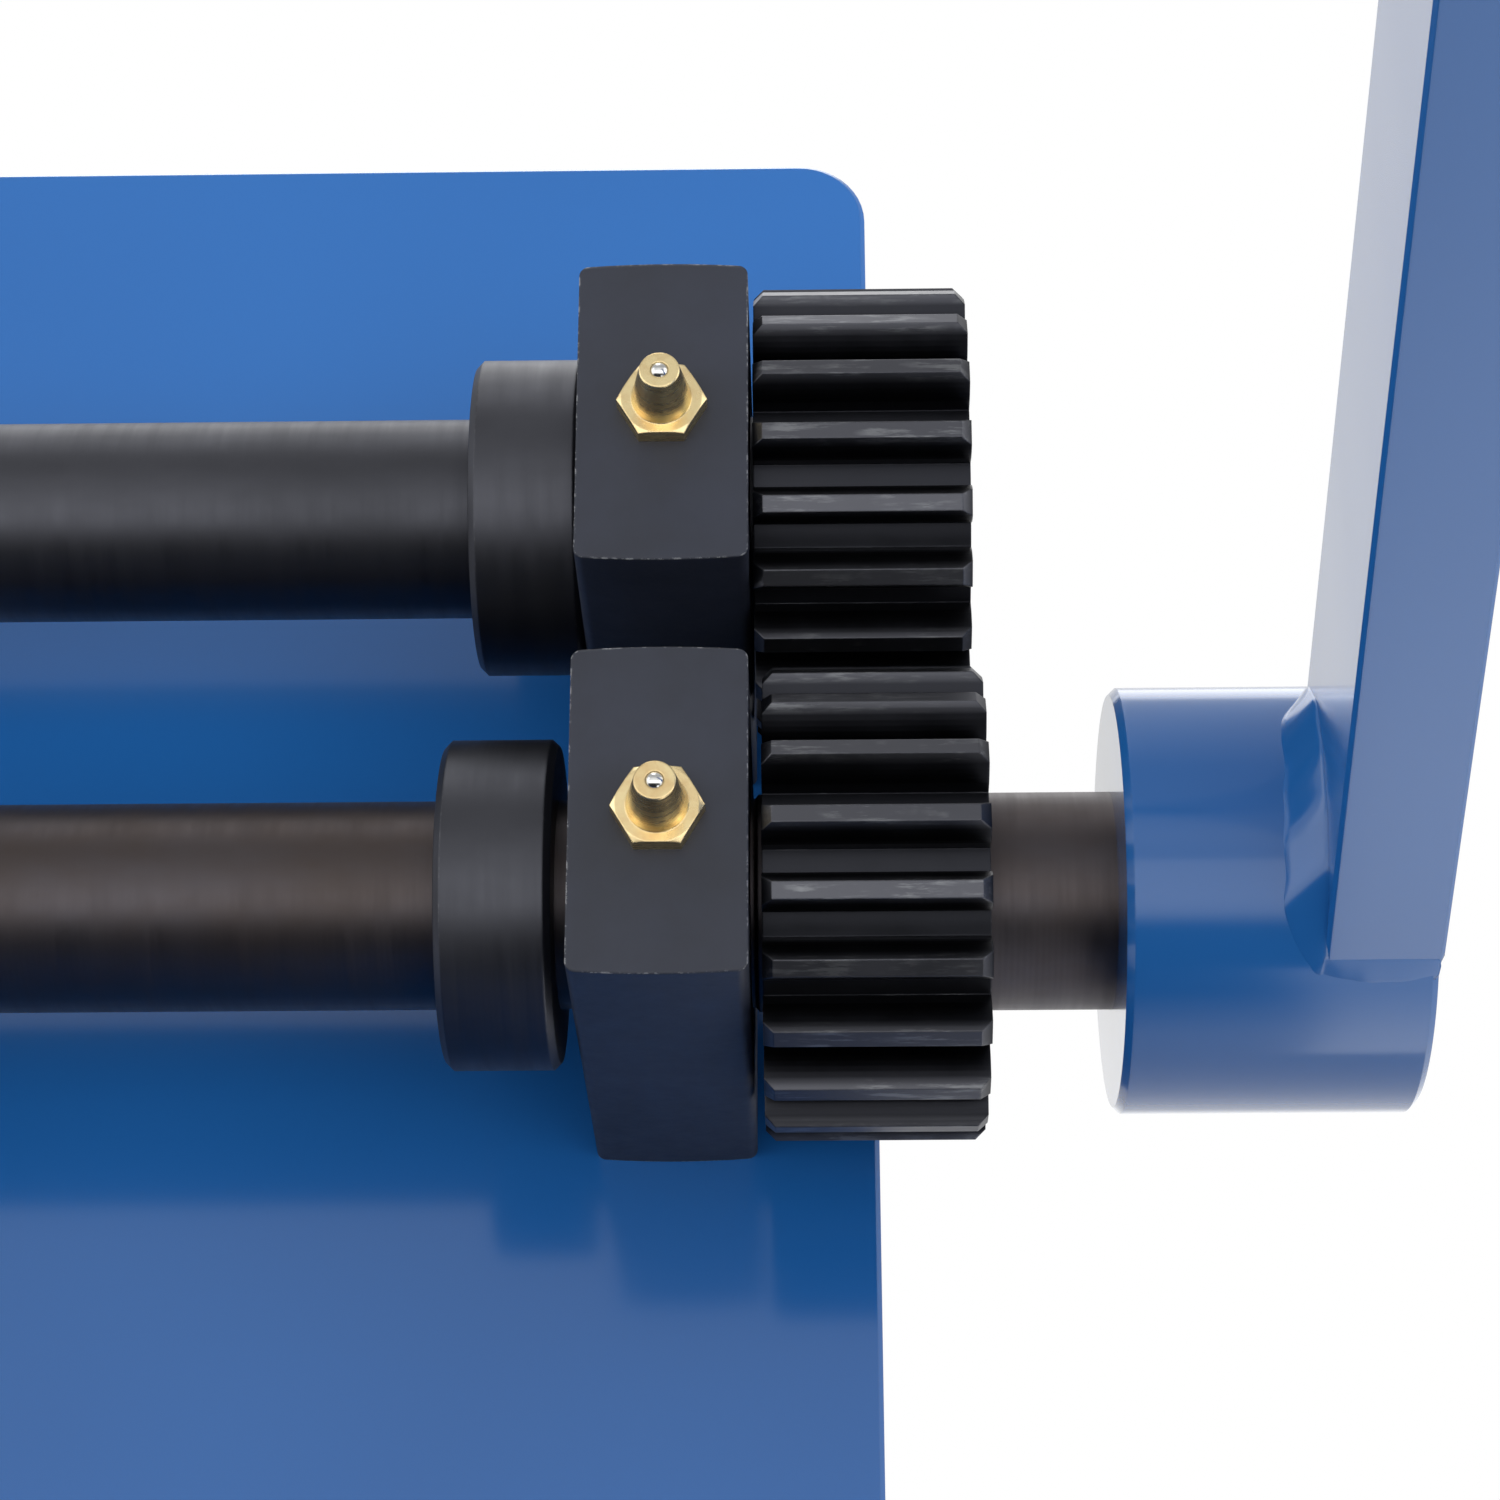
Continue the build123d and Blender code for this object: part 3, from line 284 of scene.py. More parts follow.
@dataclass(frozen=True)
class GlossEnamel(Finish):
    """Thick sprayed enamel: deep even colour, soft orange peel and a wet clear shine."""

    colour: str = "2269B5"
    shade: str = "1D60A8"
    primer: str = "6E7478"
    roughness: float = 0.30
    peel_mm: float = 3.2
    chips: float = 0.30
    nib_mm: float = 9.0
    specular: float = 0.08
    coat_roughness: float = 0.13

    def dress(self, tree: Tree, place: Socket, shader: bpy.types.Node) -> None:
        """Cloudy pigment, orange peel, dust nibs and small chips on the edges.

        Args:
            tree: Node tree of the material.
            place: Object coordinates in metres.
            shader: Principled shader to feed.
        """
        cloud = ramp(tree, noise(tree, place, 140, 2.0), ((0.35, 0.0), (0.65, 1.0)))
        pigment = blend(tree, cloud, hex_colour(self.shade), hex_colour(self.colour))
        grain = ramp(tree, noise(tree, place, 1.1, 4.0, 0.65), ((0.52, 0.0), (0.62, 1.0)))
        worn = maths(tree, "MULTIPLY", edge_mask(tree, 0.7), grain)
        chip = ramp(tree, worn, ((0.10, 0.0), (0.20, self.chips)))
        smear = noise(tree, stretched(tree, place, (1.0, 1.0, 0.25)), 26, 4.0, 0.6)
        scale = 1 / (self.nib_mm * MM)
        nib = node(tree, "TexVoronoi", {"Vector": place, "Scale": scale}, feature="F1")
        nibs = ramp(tree, nib.outputs["Distance"], ((0.0, 1.0), (0.045, 0.0)))
        peel = noise(tree, place, self.peel_mm, 2.0, 0.4)
        self.relief(tree, shader, maths(tree, "MULTIPLY_ADD", nibs, 0.5, peel), 0.20, 0.06, 0.5)
        looks = {
            "Base Color": blend(tree, chip, pigment, hex_colour(self.primer)),
            "Roughness": maths(tree, "MULTIPLY_ADD", smear, 0.14, self.roughness - 0.07),
            "Coat Weight": 1.0,
            "Coat Roughness": self.coat_roughness,
            "Specular IOR Level": self.specular,
            "IOR": 1.5,
        }
        feed(tree, shader, looks)


@dataclass(frozen=True)
class SatinCasting(Finish):
    """Fine-cast iron in a thin satin coat: a close grain, and bright specks on rubbed edges."""

    colour: str = "292E3D"
    shade: str = "212531"
    metal: str = "B9BBBE"

    def dress(self, tree: Tree, place: Socket, shader: bpy.types.Node) -> None:
        """Mottled coat, cast grain and rubbed edges down to bare iron.

        Args:
            tree: Node tree of the material.
            place: Object coordinates in metres.
            shader: Principled shader to feed.
        """
        mottle = ramp(tree, noise(tree, place, 14, 4.0, 0.6), ((0.3, 0.0), (0.7, 1.0)))
        coat = blend(tree, mottle, hex_colour(self.shade), hex_colour(self.colour))
        rub = ramp(tree, noise(tree, place, 0.9, 5.0, 0.7), ((0.50, 0.0), (0.60, 1.0)))
        worn = maths(tree, "MULTIPLY", edge_mask(tree, 0.45), rub)
        bare = ramp(tree, worn, ((0.06, 0.0), (0.16, 0.85)))
        sheen = noise(tree, place, 3.0, 4.0, 0.6)
        self.relief(tree, shader, noise(tree, place, 0.8, 4.0, 0.6), 0.30, 0.08, 0.5)
        looks = {
            "Base Color": blend(tree, bare, coat, hex_colour(self.metal)),
            "Metallic": maths(tree, "MULTIPLY", bare, 0.8),
            "Roughness": maths(tree, "MULTIPLY_ADD", sheen, 0.22, 0.38),
        }
        feed(tree, shader, looks)


@dataclass(frozen=True)
class BlackenedSteel(Finish):
    """Turned bar blackened in hot oxide: near-black satin, fine feed lines and an oily bloom."""

    colour: str = "4C4D53"
    bloom: str = "424348"
    metal: str = "A6A6A6"
    feed_mm: float = 0.7
    roughness: float = 0.40
    along: tuple[float, float, float] = (1.0, 0.0, 0.0)
    wear: float = 0.5

    def dress(self, tree: Tree, place: Socket, shader: bpy.types.Node) -> None:
        """Feed lines along the turning axis, oxide bloom, handling marks and worn corners.

        Args:
            tree: Node tree of the material.
            place: Object coordinates in metres.
            shader: Principled shader to feed.
        """
        bloom = noise(tree, stretched(tree, place, (0.5, 1.0, 1.0)), 22, 5.0, 0.62)
        cloud = ramp(tree, bloom, ((0.35, 0.0), (0.68, 1.0)))
        oxide = blend(tree, cloud, hex_colour(self.colour), hex_colour(self.bloom))
        rub = ramp(tree, noise(tree, place, 1.2, 5.0, 0.7), ((0.48, 0.0), (0.62, 1.0)))
        worn = maths(tree, "MULTIPLY", edge_mask(tree, 0.5), rub)
        bare = ramp(tree, worn, ((0.08, 0.0), (0.22, self.wear)))
        run = node(tree, "VectorMath", {0: place, 1: self.along}, operation="DOT_PRODUCT")
        waves = 2 * math.pi / (self.feed_mm * MM)
        turn = maths(tree, "SINE", maths(tree, "MULTIPLY", run.outputs["Value"], waves))
        drawn = stretched(tree, place, tuple(1.0 if a else 0.06 for a in self.along))
        streak = noise(tree, drawn, 1.6, 4.0, 0.6)
        matt = maths(tree, "MULTIPLY_ADD", streak, 0.22, self.roughness - 0.11)
        height = maths(tree, "MULTIPLY_ADD", turn, 0.25, streak)
        self.relief(tree, shader, height, 0.16, 0.03, 0.35)
        looks = {
            "Base Color": blend(tree, bare, oxide, hex_colour(self.metal)),
            "Metallic": 1.0,
            "Roughness": maths(tree, "MULTIPLY_ADD", bloom, 0.10, matt),
        }
        feed(tree, shader, looks)


@dataclass(frozen=True)
class HobbedGearSteel(Finish):
    """Hobbed and blackened gear teeth: dark oiled gaps, and tips rubbed to a scratched grey."""

    axis_y: float = 0.0
    axis_z: float = 0.0
    tip_mm: float = 27.2
    dark: str = "26272B"
    oiled: str = "303136"
    land: str = "5A5B61"
    scratch: str = "7E8084"

    def dress(self, tree: Tree, place: Socket, shader: bpy.types.Node) -> None:
        """Oxide that thins towards the tooth tips, with scratches along the tips.

        Args:
            tree: Node tree of the material.
            place: Object coordinates in metres.
            shader: Principled shader to feed.
        """
        parts = node(tree, "SeparateXYZ", {0: place}).outputs
        dy = maths(tree, "SUBTRACT", parts["Y"], self.axis_y)
        dz = maths(tree, "SUBTRACT", parts["Z"], self.axis_z)
        squares = (maths(tree, "MULTIPLY", dy, dy), maths(tree, "MULTIPLY", dz, dz))
        reach = maths(tree, "SQRT", maths(tree, "ADD", *squares))
        out = maths(tree, "DIVIDE", reach, self.tip_mm * MM)
        tip = maths(tree, "MULTIPLY", ramp(tree, out, ((0.955, 0.0), (0.992, 1.0))), 0.75)
        scuff = noise(tree, stretched(tree, place, (0.12, 1.0, 1.0)), 0.8, 5.0, 0.68)
        lines = ramp(tree, scuff, ((0.50, 0.0), (0.60, 1.0)))
        patch = ramp(tree, noise(tree, place, 5, 3.0), ((0.40, 0.0), (0.62, 1.0)))
        scratched = maths(tree, "MULTIPLY", lines, patch)
        land = blend(tree, scratched, hex_colour(self.land), hex_colour(self.scratch))
        cloud = noise(tree, place, 6, 4.0, 0.6)
        gap = blend(tree, cloud, hex_colour(self.dark), hex_colour(self.oiled))
        rub = ramp(tree, scuff, ((0.45, 0.0), (0.6, 1.0)))
        worn = maths(tree, "MULTIPLY", edge_mask(tree, 0.35), rub)
        mix = maths(tree, "MAXIMUM", tip, ramp(tree, worn, ((0.1, 0.0), (0.3, 0.6))))
        self.relief(tree, shader, scuff, 0.22, 0.03, 0.25)
        looks = {
            "Base Color": blend(tree, mix, gap, land),
            "Metallic": 1.0,
            "Roughness": maths(tree, "MULTIPLY_ADD", cloud, 0.16, 0.30),
        }
        feed(tree, shader, looks)


class Grain(Enum):
    """How the marks of making run over a bare metal."""

    TURNED_X = (1.0, 0.05, 0.05)
    TURNED_Y = (0.05, 1.0, 0.05)
    TUMBLED = (1.0, 1.0, 1.0)


@dataclass(frozen=True)
class BareMetal(Finish):
    """Uncoated or plated metal: bright, with fine marks of making and a little tarnish."""

    colour: str = "B8B8B4"
    tarnish: str = "8C8C88"
    roughness: float = 0.28
    grain: Grain = Grain.TUMBLED
    grain_mm: float = 0.5
    tarnish_mm: float = 5.0
    film: float = 0.8

    def dress(self, tree: Tree, place: Socket, shader: bpy.types.Node) -> None:
        """Tarnish clouds, marks of making and darker corners.

        Args:
            tree: Node tree of the material.
            place: Object coordinates in metres.
            shader: Principled shader to feed.
        """
        cloud = noise(tree, place, self.tarnish_mm, 5.0, 0.6)
        film = ramp(tree, cloud, ((0.42, 0.0), (0.72, self.film)))
        corner = ramp(tree, edge_mask(tree, 0.5), ((0.05, 0.0), (0.35, 0.35)))
        cover = maths(tree, "MAXIMUM", film, corner)
        marks = noise(tree, stretched(tree, place, self.grain.value), self.grain_mm, 4.0, 0.6)
        self.relief(tree, shader, marks, 0.18, 0.02, 0.25)
        looks = {
            "Base Color": blend(tree, cover, hex_colour(self.colour), hex_colour(self.tarnish)),
            "Metallic": 1.0,
            "Roughness": maths(tree, "MULTIPLY_ADD", marks, 0.24, self.roughness - 0.08),
        }
        feed(tree, shader, looks)


@dataclass(frozen=True)
class MouldedPhenolic(Finish):
    """Black moulded phenolic: a semi-gloss skin with a faint mould texture and palm scuffs."""

    colour: str = "151518"
    scuff: str = "34343A"

    def dress(self, tree: Tree, place: Socket, shader: bpy.types.Node) -> None:
        """Skin texture, palm polish and fine scuffs.

        Args:
            tree: Node tree of the material.
            place: Object coordinates in metres.
            shader: Principled shader to feed.
        """
        rub = noise(tree, stretched(tree, place, (0.2, 1.0, 1.0)), 2.2, 5.0, 0.65)
        marks = ramp(tree, rub, ((0.55, 0.0), (0.75, 0.7)))
        polish = noise(tree, place, 30, 3.0)
        self.relief(tree, shader, noise(tree, place, 0.7, 3.0), 0.15, 0.03)
        looks = {
            "Base Color": blend(tree, marks, hex_colour(self.colour), hex_colour(self.scuff)),
            "Roughness": maths(tree, "MULTIPLY_ADD", polish, 0.25, 0.22),
            "IOR": 1.55,
        }
        feed(tree, shader, looks)


@dataclass(frozen=True)
class StudioPaper(Finish):
    """Seamless pale paper: matt, with the faintest mottling; other rays see a painted shade and a
    painted glow.

    Attributes:
        pale: Darker of the two tones that the camera sees.
        bright: Lighter of the two.
        zone_at: Middle of the painted shade, a dark patch on the paper before the machine that only
            other rays see.
        zone_squeeze: Squeezes the distance along X, which makes the painted shade long.
        zone_edge: Distance from the painted shade's middle in metres, and brightness of the paper
            there to other rays.
        front_edge: Place along Y plus 1 m, and strength of the painted glow there.
    """

    pale: str = "E9E9E8"
    bright: str = "EFEFEE"
    zone_at: tuple[float, float, float] = (0.0, -0.26, 0.0)
    zone_squeeze: tuple[float, float, float] = (0.28, 1.0, 1.0)
    zone_edge: tuple[tuple[float, float], ...] = ((0.15, 0.02), (0.26, 0.80))
    front_edge: tuple[tuple[float, float], ...] = ((0.35, 1.50), (0.60, 0.75), (1.0, 0.28))

    def dress(self, tree: Tree, place: Socket, shader: bpy.types.Node) -> None:
        """Pale sheet to the camera; to other rays a painted shade before the machine and a painted
        glow elsewhere.

        Args:
            tree: Node tree of the material.
            place: Object coordinates in metres.
            shader: Principled shader to feed.
        """
        mottle = noise(tree, place, 60, 2.0)
        pale = blend(tree, mottle, hex_colour(self.pale), hex_colour(self.bright))
        # Painted shade: to rays other than camera rays the paper is dark before the machine,
        # standing in for the machine's shadow on the floor.
        spot = {0: stretched(tree, place, self.zone_squeeze), 1: self.zone_at}
        away = node(tree, "VectorMath", spot, operation="DISTANCE").outputs["Value"]
        painted_floor_shade = ramp(tree, away, self.zone_edge)
        seen = node(tree, "LightPath").outputs["Is Camera Ray"]
        unseen = maths(tree, "SUBTRACT", 1.0, seen)
        depth = maths(tree, "ADD", node(tree, "SeparateXYZ", {0: place}).outputs["Y"], 1.0)
        # Painted glow: to those rays the paper also shines, strongest towards the front, though it
        # is no lamp.
        glow = maths(tree, "MULTIPLY", painted_floor_shade, ramp(tree, depth, self.front_edge))
        looks = {
            "Base Color": blend(tree, seen, painted_floor_shade, pale),
            "Emission Strength": maths(tree, "MULTIPLY", glow, unseen),
            "Emission Color": (1.0, 1.0, 1.0, 1.0),
            "Roughness": 0.9,
            "Specular IOR Level": 0.1,
        }
        feed(tree, shader, looks)


# ------------------------------------------------------------------ mesh tools
def publish(
    mesh: bmesh.types.BMesh, name: str, finish: Finish, body: str, smooth: bool = True
) -> bpy.types.Object:
    """Turn a bmesh into a named piece that rides on a body.

    Args:
        mesh: Finished geometry in metres, freed afterwards.
        name: Name of the piece.
        finish: Finish that dresses it.
        body: Body that carries it.
        smooth: Whether faces are shaded smooth.

    Returns:
        The new object.
    """
    bmesh.ops.remove_doubles(mesh, verts=mesh.verts, dist=WELD_GAP)
    bmesh.ops.recalc_face_normals(mesh, faces=mesh.faces)
    for face in mesh.faces:
        face.smooth = smooth
    data = bpy.data.meshes.new(name)
    mesh.to_mesh(data)
    mesh.free()
    data.materials.append(finish.material())
    piece = bpy.data.objects.new(name, data)
    bpy.context.scene.collection.objects.link(piece)
    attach(piece, body)
    LOG.info("%s rides on %s with %d faces", name, body, len(data.polygons))
    return piece


def heading(point: Vector, forward: Vector) -> Matrix:
    """Placement whose local Z points forward.

    Args:
        point: Where its origin goes.
        forward: Direction of local Z.

    Returns:
        The 4x4 placement.
    """
    turn = forward.to_track_quat("Z", "Y").to_matrix().to_4x4()
    return Matrix.Translation(point) @ turn


def sweep_ring(
    mesh: bmesh.types.BMesh, path: Sequence[Vector], radius: Callable[[int], float], sides: int = 14
) -> None:
    """Sweep a round section along a path, closing both ends.

    Args:
        mesh: Mesh that receives the sweep.
        path: Points of the centre line.
        radius: Section radius at each point, in metres.
        sides: Number of sides of the section.
    """
    last = len(path) - 1
    aims = [(path[min(i + 1, last)] - path[max(i - 1, 0)]).normalized() for i in range(last + 1)]
    now = heading(path[0], aims[0])
    ring = bmesh.ops.create_circle(
        mesh, cap_ends=True, segments=sides, radius=radius(0), matrix=now
    )
    rim = list({edge for vert in ring["verts"] for edge in vert.link_edges})
    size = radius(0)
    for index in range(1, len(path)):
        grown = bmesh.ops.extrude_edge_only(mesh, edges=rim)["geom"]
        verts = [item for item in grown if isinstance(item, bmesh.types.BMVert)]
        rim = [item for item in grown if isinstance(item, bmesh.types.BMEdge)]
        turn = aims[index - 1].rotation_difference(aims[index]).to_matrix().to_4x4()
        step = Matrix.Translation(path[index]) @ turn @ Matrix.Scale(radius(index) / size, 4)
        bmesh.ops.transform(mesh, matrix=step @ Matrix.Translation(-path[index - 1]), verts=verts)
        size = radius(index)
    bmesh.ops.contextual_create(mesh, geom=rim)


def helical_thread(
    mesh: bmesh.types.BMesh,
    start: Vector,
    axis: Vector,
    across: Vector,
    outer: float,
    pitch: float,
    length: float,
    steps: int = 28,
) -> None:
    """Build a V thread as one helical skin.

    Args:
        mesh: Mesh that receives the thread.
        start: Point on the axis where the thread starts.
        axis: Direction in which the thread runs.
        across: Direction square to the axis.
        outer: Crest radius in metres.
        pitch: Distance between crests in metres.
        length: Length of the thread in metres.
        steps: Number of steps in one turn.
    """
    root = outer - 0.6 * pitch
    # Radius, and share of the pitch, of each corner of one V between two flats.
    corners = ((root, 0.0), (root, 0.12), (outer, 0.44), (outer, 0.56), (root, 0.88), (root, 1.0))
    verts = [mesh.verts.new(start + across * r + axis * (share * pitch)) for r, share in corners]
    edges = [mesh.edges.new(pair) for pair in zip(verts, verts[1:])]
    turns = max(1, round(length / pitch) - 1)
    bmesh.ops.spin(
        mesh,
        geom=verts + edges,
        cent=start,
        axis=axis,
        dvec=axis * (pitch / steps),
        angle=math.tau * turns,
        steps=steps * turns,
        use_merge=False,
    )


# ------------------------------------------------------------------ finishes in use
BLUE = GlossEnamel("sprayed_blue_enamel", "blue_paint")
# Darker copy of the frame's blue enamel for the crank and its weld fillet. The darker tone is
# painted shade that stands in for the weaker light on the crank; it is not a different paint.
BLUE_CRANK_PAINTED_SHADE = GlossEnamel(
    "sprayed_blue_enamel_crank_painted_shade", "blue_paint", "2060A4", "1C599A", roughness=0.24, chips=0.22
)
CASTING = SatinCasting("satin_coated_casting", "block_paint")
SHAFT = BlackenedSteel("blackened_turned_bar", "black_oxide")
SHAFT_LOWER = BlackenedSteel(
    "blackened_turned_bar_brown", "black_oxide", colour="514E52", bloom="4B4442"
)
OXIDE_FLAT = BlackenedSteel(
    "blackened_milled_steel", "black_oxide", feed_mm=1.1, along=(0.0, 0.0, 1.0), wear=0.7
)
BRASS = BareMetal(
    "turned_yellow_brass", "brass", "F4E0AC", "D2A870", 0.24, Grain.TURNED_Y, 0.5, 3.0, 0.6
)
BRONZE = BareMetal(
    "oiled_bearing_bronze", "bronze", "B07A45", "6E4A2A", 0.30, Grain.TURNED_X, 0.5, 4.0
)
BALL = BareMetal(
    "polished_ball_steel", "bright_steel", "D8D8D6", "B4B4B2", 0.10, Grain.TUMBLED, 0.4, 2.0
)
ZINC = BareMetal(
    "zinc_plated_steel", "zinc_fasteners", "B9BBBA", "8E8F8B", 0.32, Grain.TUMBLED, 0.7, 6.0
)
SPINDLE = BareMetal(
    "zinc_plated_turned_steel", "zinc_fasteners", "BFC0BE", "94958F", 0.26, Grain.TURNED_X, 0.5, 7.0
)
KEYSTEEL = BareMetal(
    "cold_drawn_key_steel", "key_steel", "8D8D8C", "6B6A68", 0.35, Grain.TURNED_X, 0.6, 4.0
)
ROLLSTEEL = BareMetal(
    "ground_tool_steel", "roll_steel", "A9A9A7", "8A8987", 0.22, Grain.TURNED_X, 0.5, 14.0, 0.4
)
GEAR_LOWER = HobbedGearSteel("hobbed_gear_steel_lower", "gear_steel", SHAFT_Y, LOWER_Z)
GEAR_UPPER = HobbedGearSteel("hobbed_gear_steel_upper", "gear_steel", SHAFT_Y, UPPER_Z)
GRIP = MouldedPhenolic("moulded_black_phenolic", "grip_plastic")
CAPS = MouldedPhenolic("moulded_black_phenolic_caps", "cap_plastic")
PAPER = StudioPaper("seamless_pale_paper_painted_shade_glow", "")


# ------------------------------------------------------------------ sub-assemblies
@dataclass
class CarriedNodes:
    """Finishes for the solid nodes that keep their own shape."""

    finishes: dict[str, Finish] = field(default_factory=dict)

    def dress(self, nodes: dict[str, bpy.types.Object]) -> None:
        """Give each node its finish in every material slot.

        Args:
            nodes: Node name to object.
        """
        for name, finish in self.finishes.items():
            piece = nodes[name]
            material = finish.material()
            for place in piece.material_slots:
                place.material = material
            LOG.info("%s wears %s", name, finish.name)


@dataclass
class WeldSeams:
    """Fillet welds that join the base plate, the gussets and the frame plate.

    Attributes:
        leg: Radius of a bead.
        ripple: Length of one ripple.
        foot_start: Where the foot seams start, from the frame plate's front end.
        foot_inset: Where they stop, before its rear end.
        gusset_thick: Thickness of a gusset.
        gusset_rise: Length of a bead up a gusset.
        tip_gap: Where a bead stops before a gusset's tip.
    """

    leg: float = 4.2 * MM
    ripple: float = 2.6 * MM
    foot_start: float = 196 * MM
    foot_inset: float = 3 * MM
    gusset_thick: float = 8 * MM
    gusset_rise: float = 106 * MM
    tip_gap: float = 2 * MM

    def bead(self, mesh: bmesh.types.BMesh, start: Vector, end: Vector, seed: float) -> None:
        """Lay one straight rippled bead.

        Args:
            mesh: Mesh that receives it.
            start: First end of the corner line.
            end: Other end of the corner line.
            seed: Shifts the unevenness, so that no two beads match.
        """
        span = (end - start).length
        count = max(6, int(span / self.ripple) * 3)
        path = [start.lerp(end, i / count) for i in range(count + 1)]

        def radius(index: int) -> float:
            """Bead radius at one ring, thinning to both ends.

            Args:
                index: Number of the ring.

            Returns:
                The radius in metres.
            """
            taper = min(1.0, 0.55 + 0.45 * min(index, count - index) / 4)
            scallop = (0.0, 0.07, 0.04)[index % 3]
            sway = 0.05 * math.sin(index * 0.37 + seed)
            drift = 0.03 * math.sin(index * 0.11 + 2 * seed)
            return self.leg * taper * (1.0 + scallop + (sway + drift))

        sweep_ring(mesh, path, radius, 12)

    def build(self) -> None:
        """Build all seams of the frame as two pieces."""
        low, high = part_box("frame_plate")
        base_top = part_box("base_plate")[1].z
        near, far = low.x + self.foot_start, high.x - self.foot_inset
        seams = bmesh.new()
        for seed, y in enumerate((low.y, high.y)):
            self.bead(seams, Vector((near, y, base_top)), Vector((far, y, base_top)), 1.3 * seed)
        publish(seams, "foot_welds", BLUE, "frame")

        gussets = bmesh.new()
        outer_low, outer_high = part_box("base_gussets")
        thick = self.gusset_thick
        columns = (outer_low.x, outer_low.x + thick, outer_high.x - thick, outer_high.x)
        seed = 0.0
        for x in columns:
            for face, tip in ((low.y, outer_low.y), (high.y, outer_high.y)):
                way = math.copysign(1.0, tip - face)
                corner = Vector((x, face, base_top))
                toe = Vector((x, tip - way * self.tip_gap, base_top))
                self.bead(gussets, corner, corner + Vector((0, 0, self.gusset_rise)), seed)
                self.bead(gussets, corner, toe, seed + 0.7)
                seed += 1.9
        publish(gussets, "gusset_welds", BLUE, "frame")


@dataclass
class CrankWeld:
    """Smooth painted fillet that joins the arm to the hub.

    Attributes:
        top_leg: Width of the fillet on the hub where it starts.
        heavy_leg: Width near the lower end of the arm's side, where it is widest.
        corner_leg: Width where it turns under the arm.
        foot_leg: Width in the middle of the arm's lower end.
        height: Height of the fillet up the arm's side.
        foot_height: Height up the arm's lower face.
        bury: Depth of the hidden edges in the steel.
        rise: Slope of the arm.
        hub_radius: Outer radius of the hub.
        front: Distance from the shaft line to the arm's front edge.
        back: Distance from the shaft line to the arm's rear edge.
        shaft_line: A point on the crank's axis.
        side_steps: Steps of the seam down the arm's side.
        corner_steps: Steps round the corner.
        foot_steps: Steps under the arm's lower end.
        full_at: Share of the side where the fillet reaches its full width.
        drop_at: Share of the side where it starts to drop away.
        drop_span: Share of the side over which it drops.
        corner_loss: Width lost in turning the corner.
        end_leg: Width where the seam ends.
        end_gap: Where it stops before the arm's far edge.
    """

    top_leg: float = 3.0 * MM
    heavy_leg: float = 4.4 * MM
    corner_leg: float = 1.4 * MM
    foot_leg: float = 1.9 * MM
    height: float = 5.2 * MM
    foot_height: float = 1.0 * MM
    bury: float = 0.7 * MM
    rise: float = math.radians(25.7)
    hub_radius: float = 24.4 * MM
    front: float = 22.2 * MM
    back: float = -6.3 * MM
    shaft_line: Vector = field(default_factory=lambda: Vector((0.0, SHAFT_Y, LOWER_Z)))
    side_steps: int = 26
    corner_steps: int = 6
    foot_steps: int = 12
    full_at: float = 0.8
    drop_at: float = 0.82
    drop_span: float = 0.18
    corner_loss: float = 0.5 * MM
    end_leg: float = 0.8 * MM
    end_gap: float = 0.3 * MM

    def place(self, x: float, along: float, across: float) -> Vector:
        """Turn arm directions into a point.

        Args:
            x: Place along the shafts.
            along: Distance up the arm from the shaft line.
            across: Distance towards the arm's front edge.

        Returns:
            The point in the shared frame.
        """
        y = self.shaft_line.y - along * math.cos(self.rise) - across * math.sin(self.rise)
        z = self.shaft_line.z + along * math.sin(self.rise) - across * math.cos(self.rise)
        return Vector((x, y, z))

    def section(
        self,
        mesh: bmesh.types.BMesh,
        x: float,
        angle: float,
        turn: float,
        leg: float,
        height: float,
    ) -> list[bmesh.types.BMEdge]:
        """Draw the closed outline of the fillet at one station of the seam.

        Args:
            mesh: Mesh that receives the outline.
            x: Place of the seam along the shafts.
            angle: Place of the seam round the hub.
            turn: 0 on the arm's side, a quarter turn under its lower end.
            leg: Width on the hub.
            height: Height on the arm.

        Returns:
            The edges of the outline.
        """
        # Slightly hollow face, from the hub to the arm, in shares of the width and height.
        hollow = ((0.94, 0.09), (0.78, 0.24), (0.52, 0.51), (0.26, 0.77), (0.08, 0.94))
        face = ((1.0, 0.0), *hollow, (0.0, 1.0))
        outline = [(leg + self.bury, -self.bury)]
        outline += [(leg * out, height * up) for out, up in face]
        outline += [(-self.bury, height), (-self.bury, -self.bury)]
        verts = []
        for out, up in outline:
            round_hub = angle + out * math.sin(turn) / self.hub_radius
            along = self.hub_radius * math.cos(round_hub) + up
            across = self.hub_radius * math.sin(round_hub)
            verts.append(mesh.verts.new(self.place(x - out * math.cos(turn), along, across)))
        return [mesh.edges.new(pair) for pair in zip(verts, verts[1:] + verts[:1])]

    def side(
        self, mesh: bmesh.types.BMesh, x: float, first: float, last: float
    ) -> list[list[bmesh.types.BMEdge]]:
        """Draw the outlines down the arm's side, swelling slowly and dropping at the corner.

        Args:
            mesh: Mesh that receives the outlines.
            x: Place of the arm's side along the shafts.
            first: Place of the first outline round the hub.
            last: Place of the last one.

        Returns:
            The edges of each outline.
        """
        rings = []
        for i in range(self.side_steps + 1):
            share = i / self.side_steps
            grown = min(1.0, share / self.full_at)
            swell = self.top_leg + (self.heavy_leg - self.top_leg) * grown
            drop = max(0.0, (share - self.drop_at) / self.drop_span) ** 1.5
            ripple = 1.0 + 0.03 * math.sin(i * 1.3) + 0.03 * math.sin(i * 0.5 + 1.0)
            start = min(1.0, 0.30 + 0.7 * math.sin(min(1.0, i / 4) * math.pi / 2))
            leg = (swell + (self.corner_leg - swell) * drop) * ripple * start
            height = self.height + (self.foot_height - self.height) * drop
            height *= ripple * min(1.0, 0.5 + 0.1 * i)
            angle = first + (last - first) * share
            rings.append(self.section(mesh, x, angle, 0.0, leg, height))
        return rings

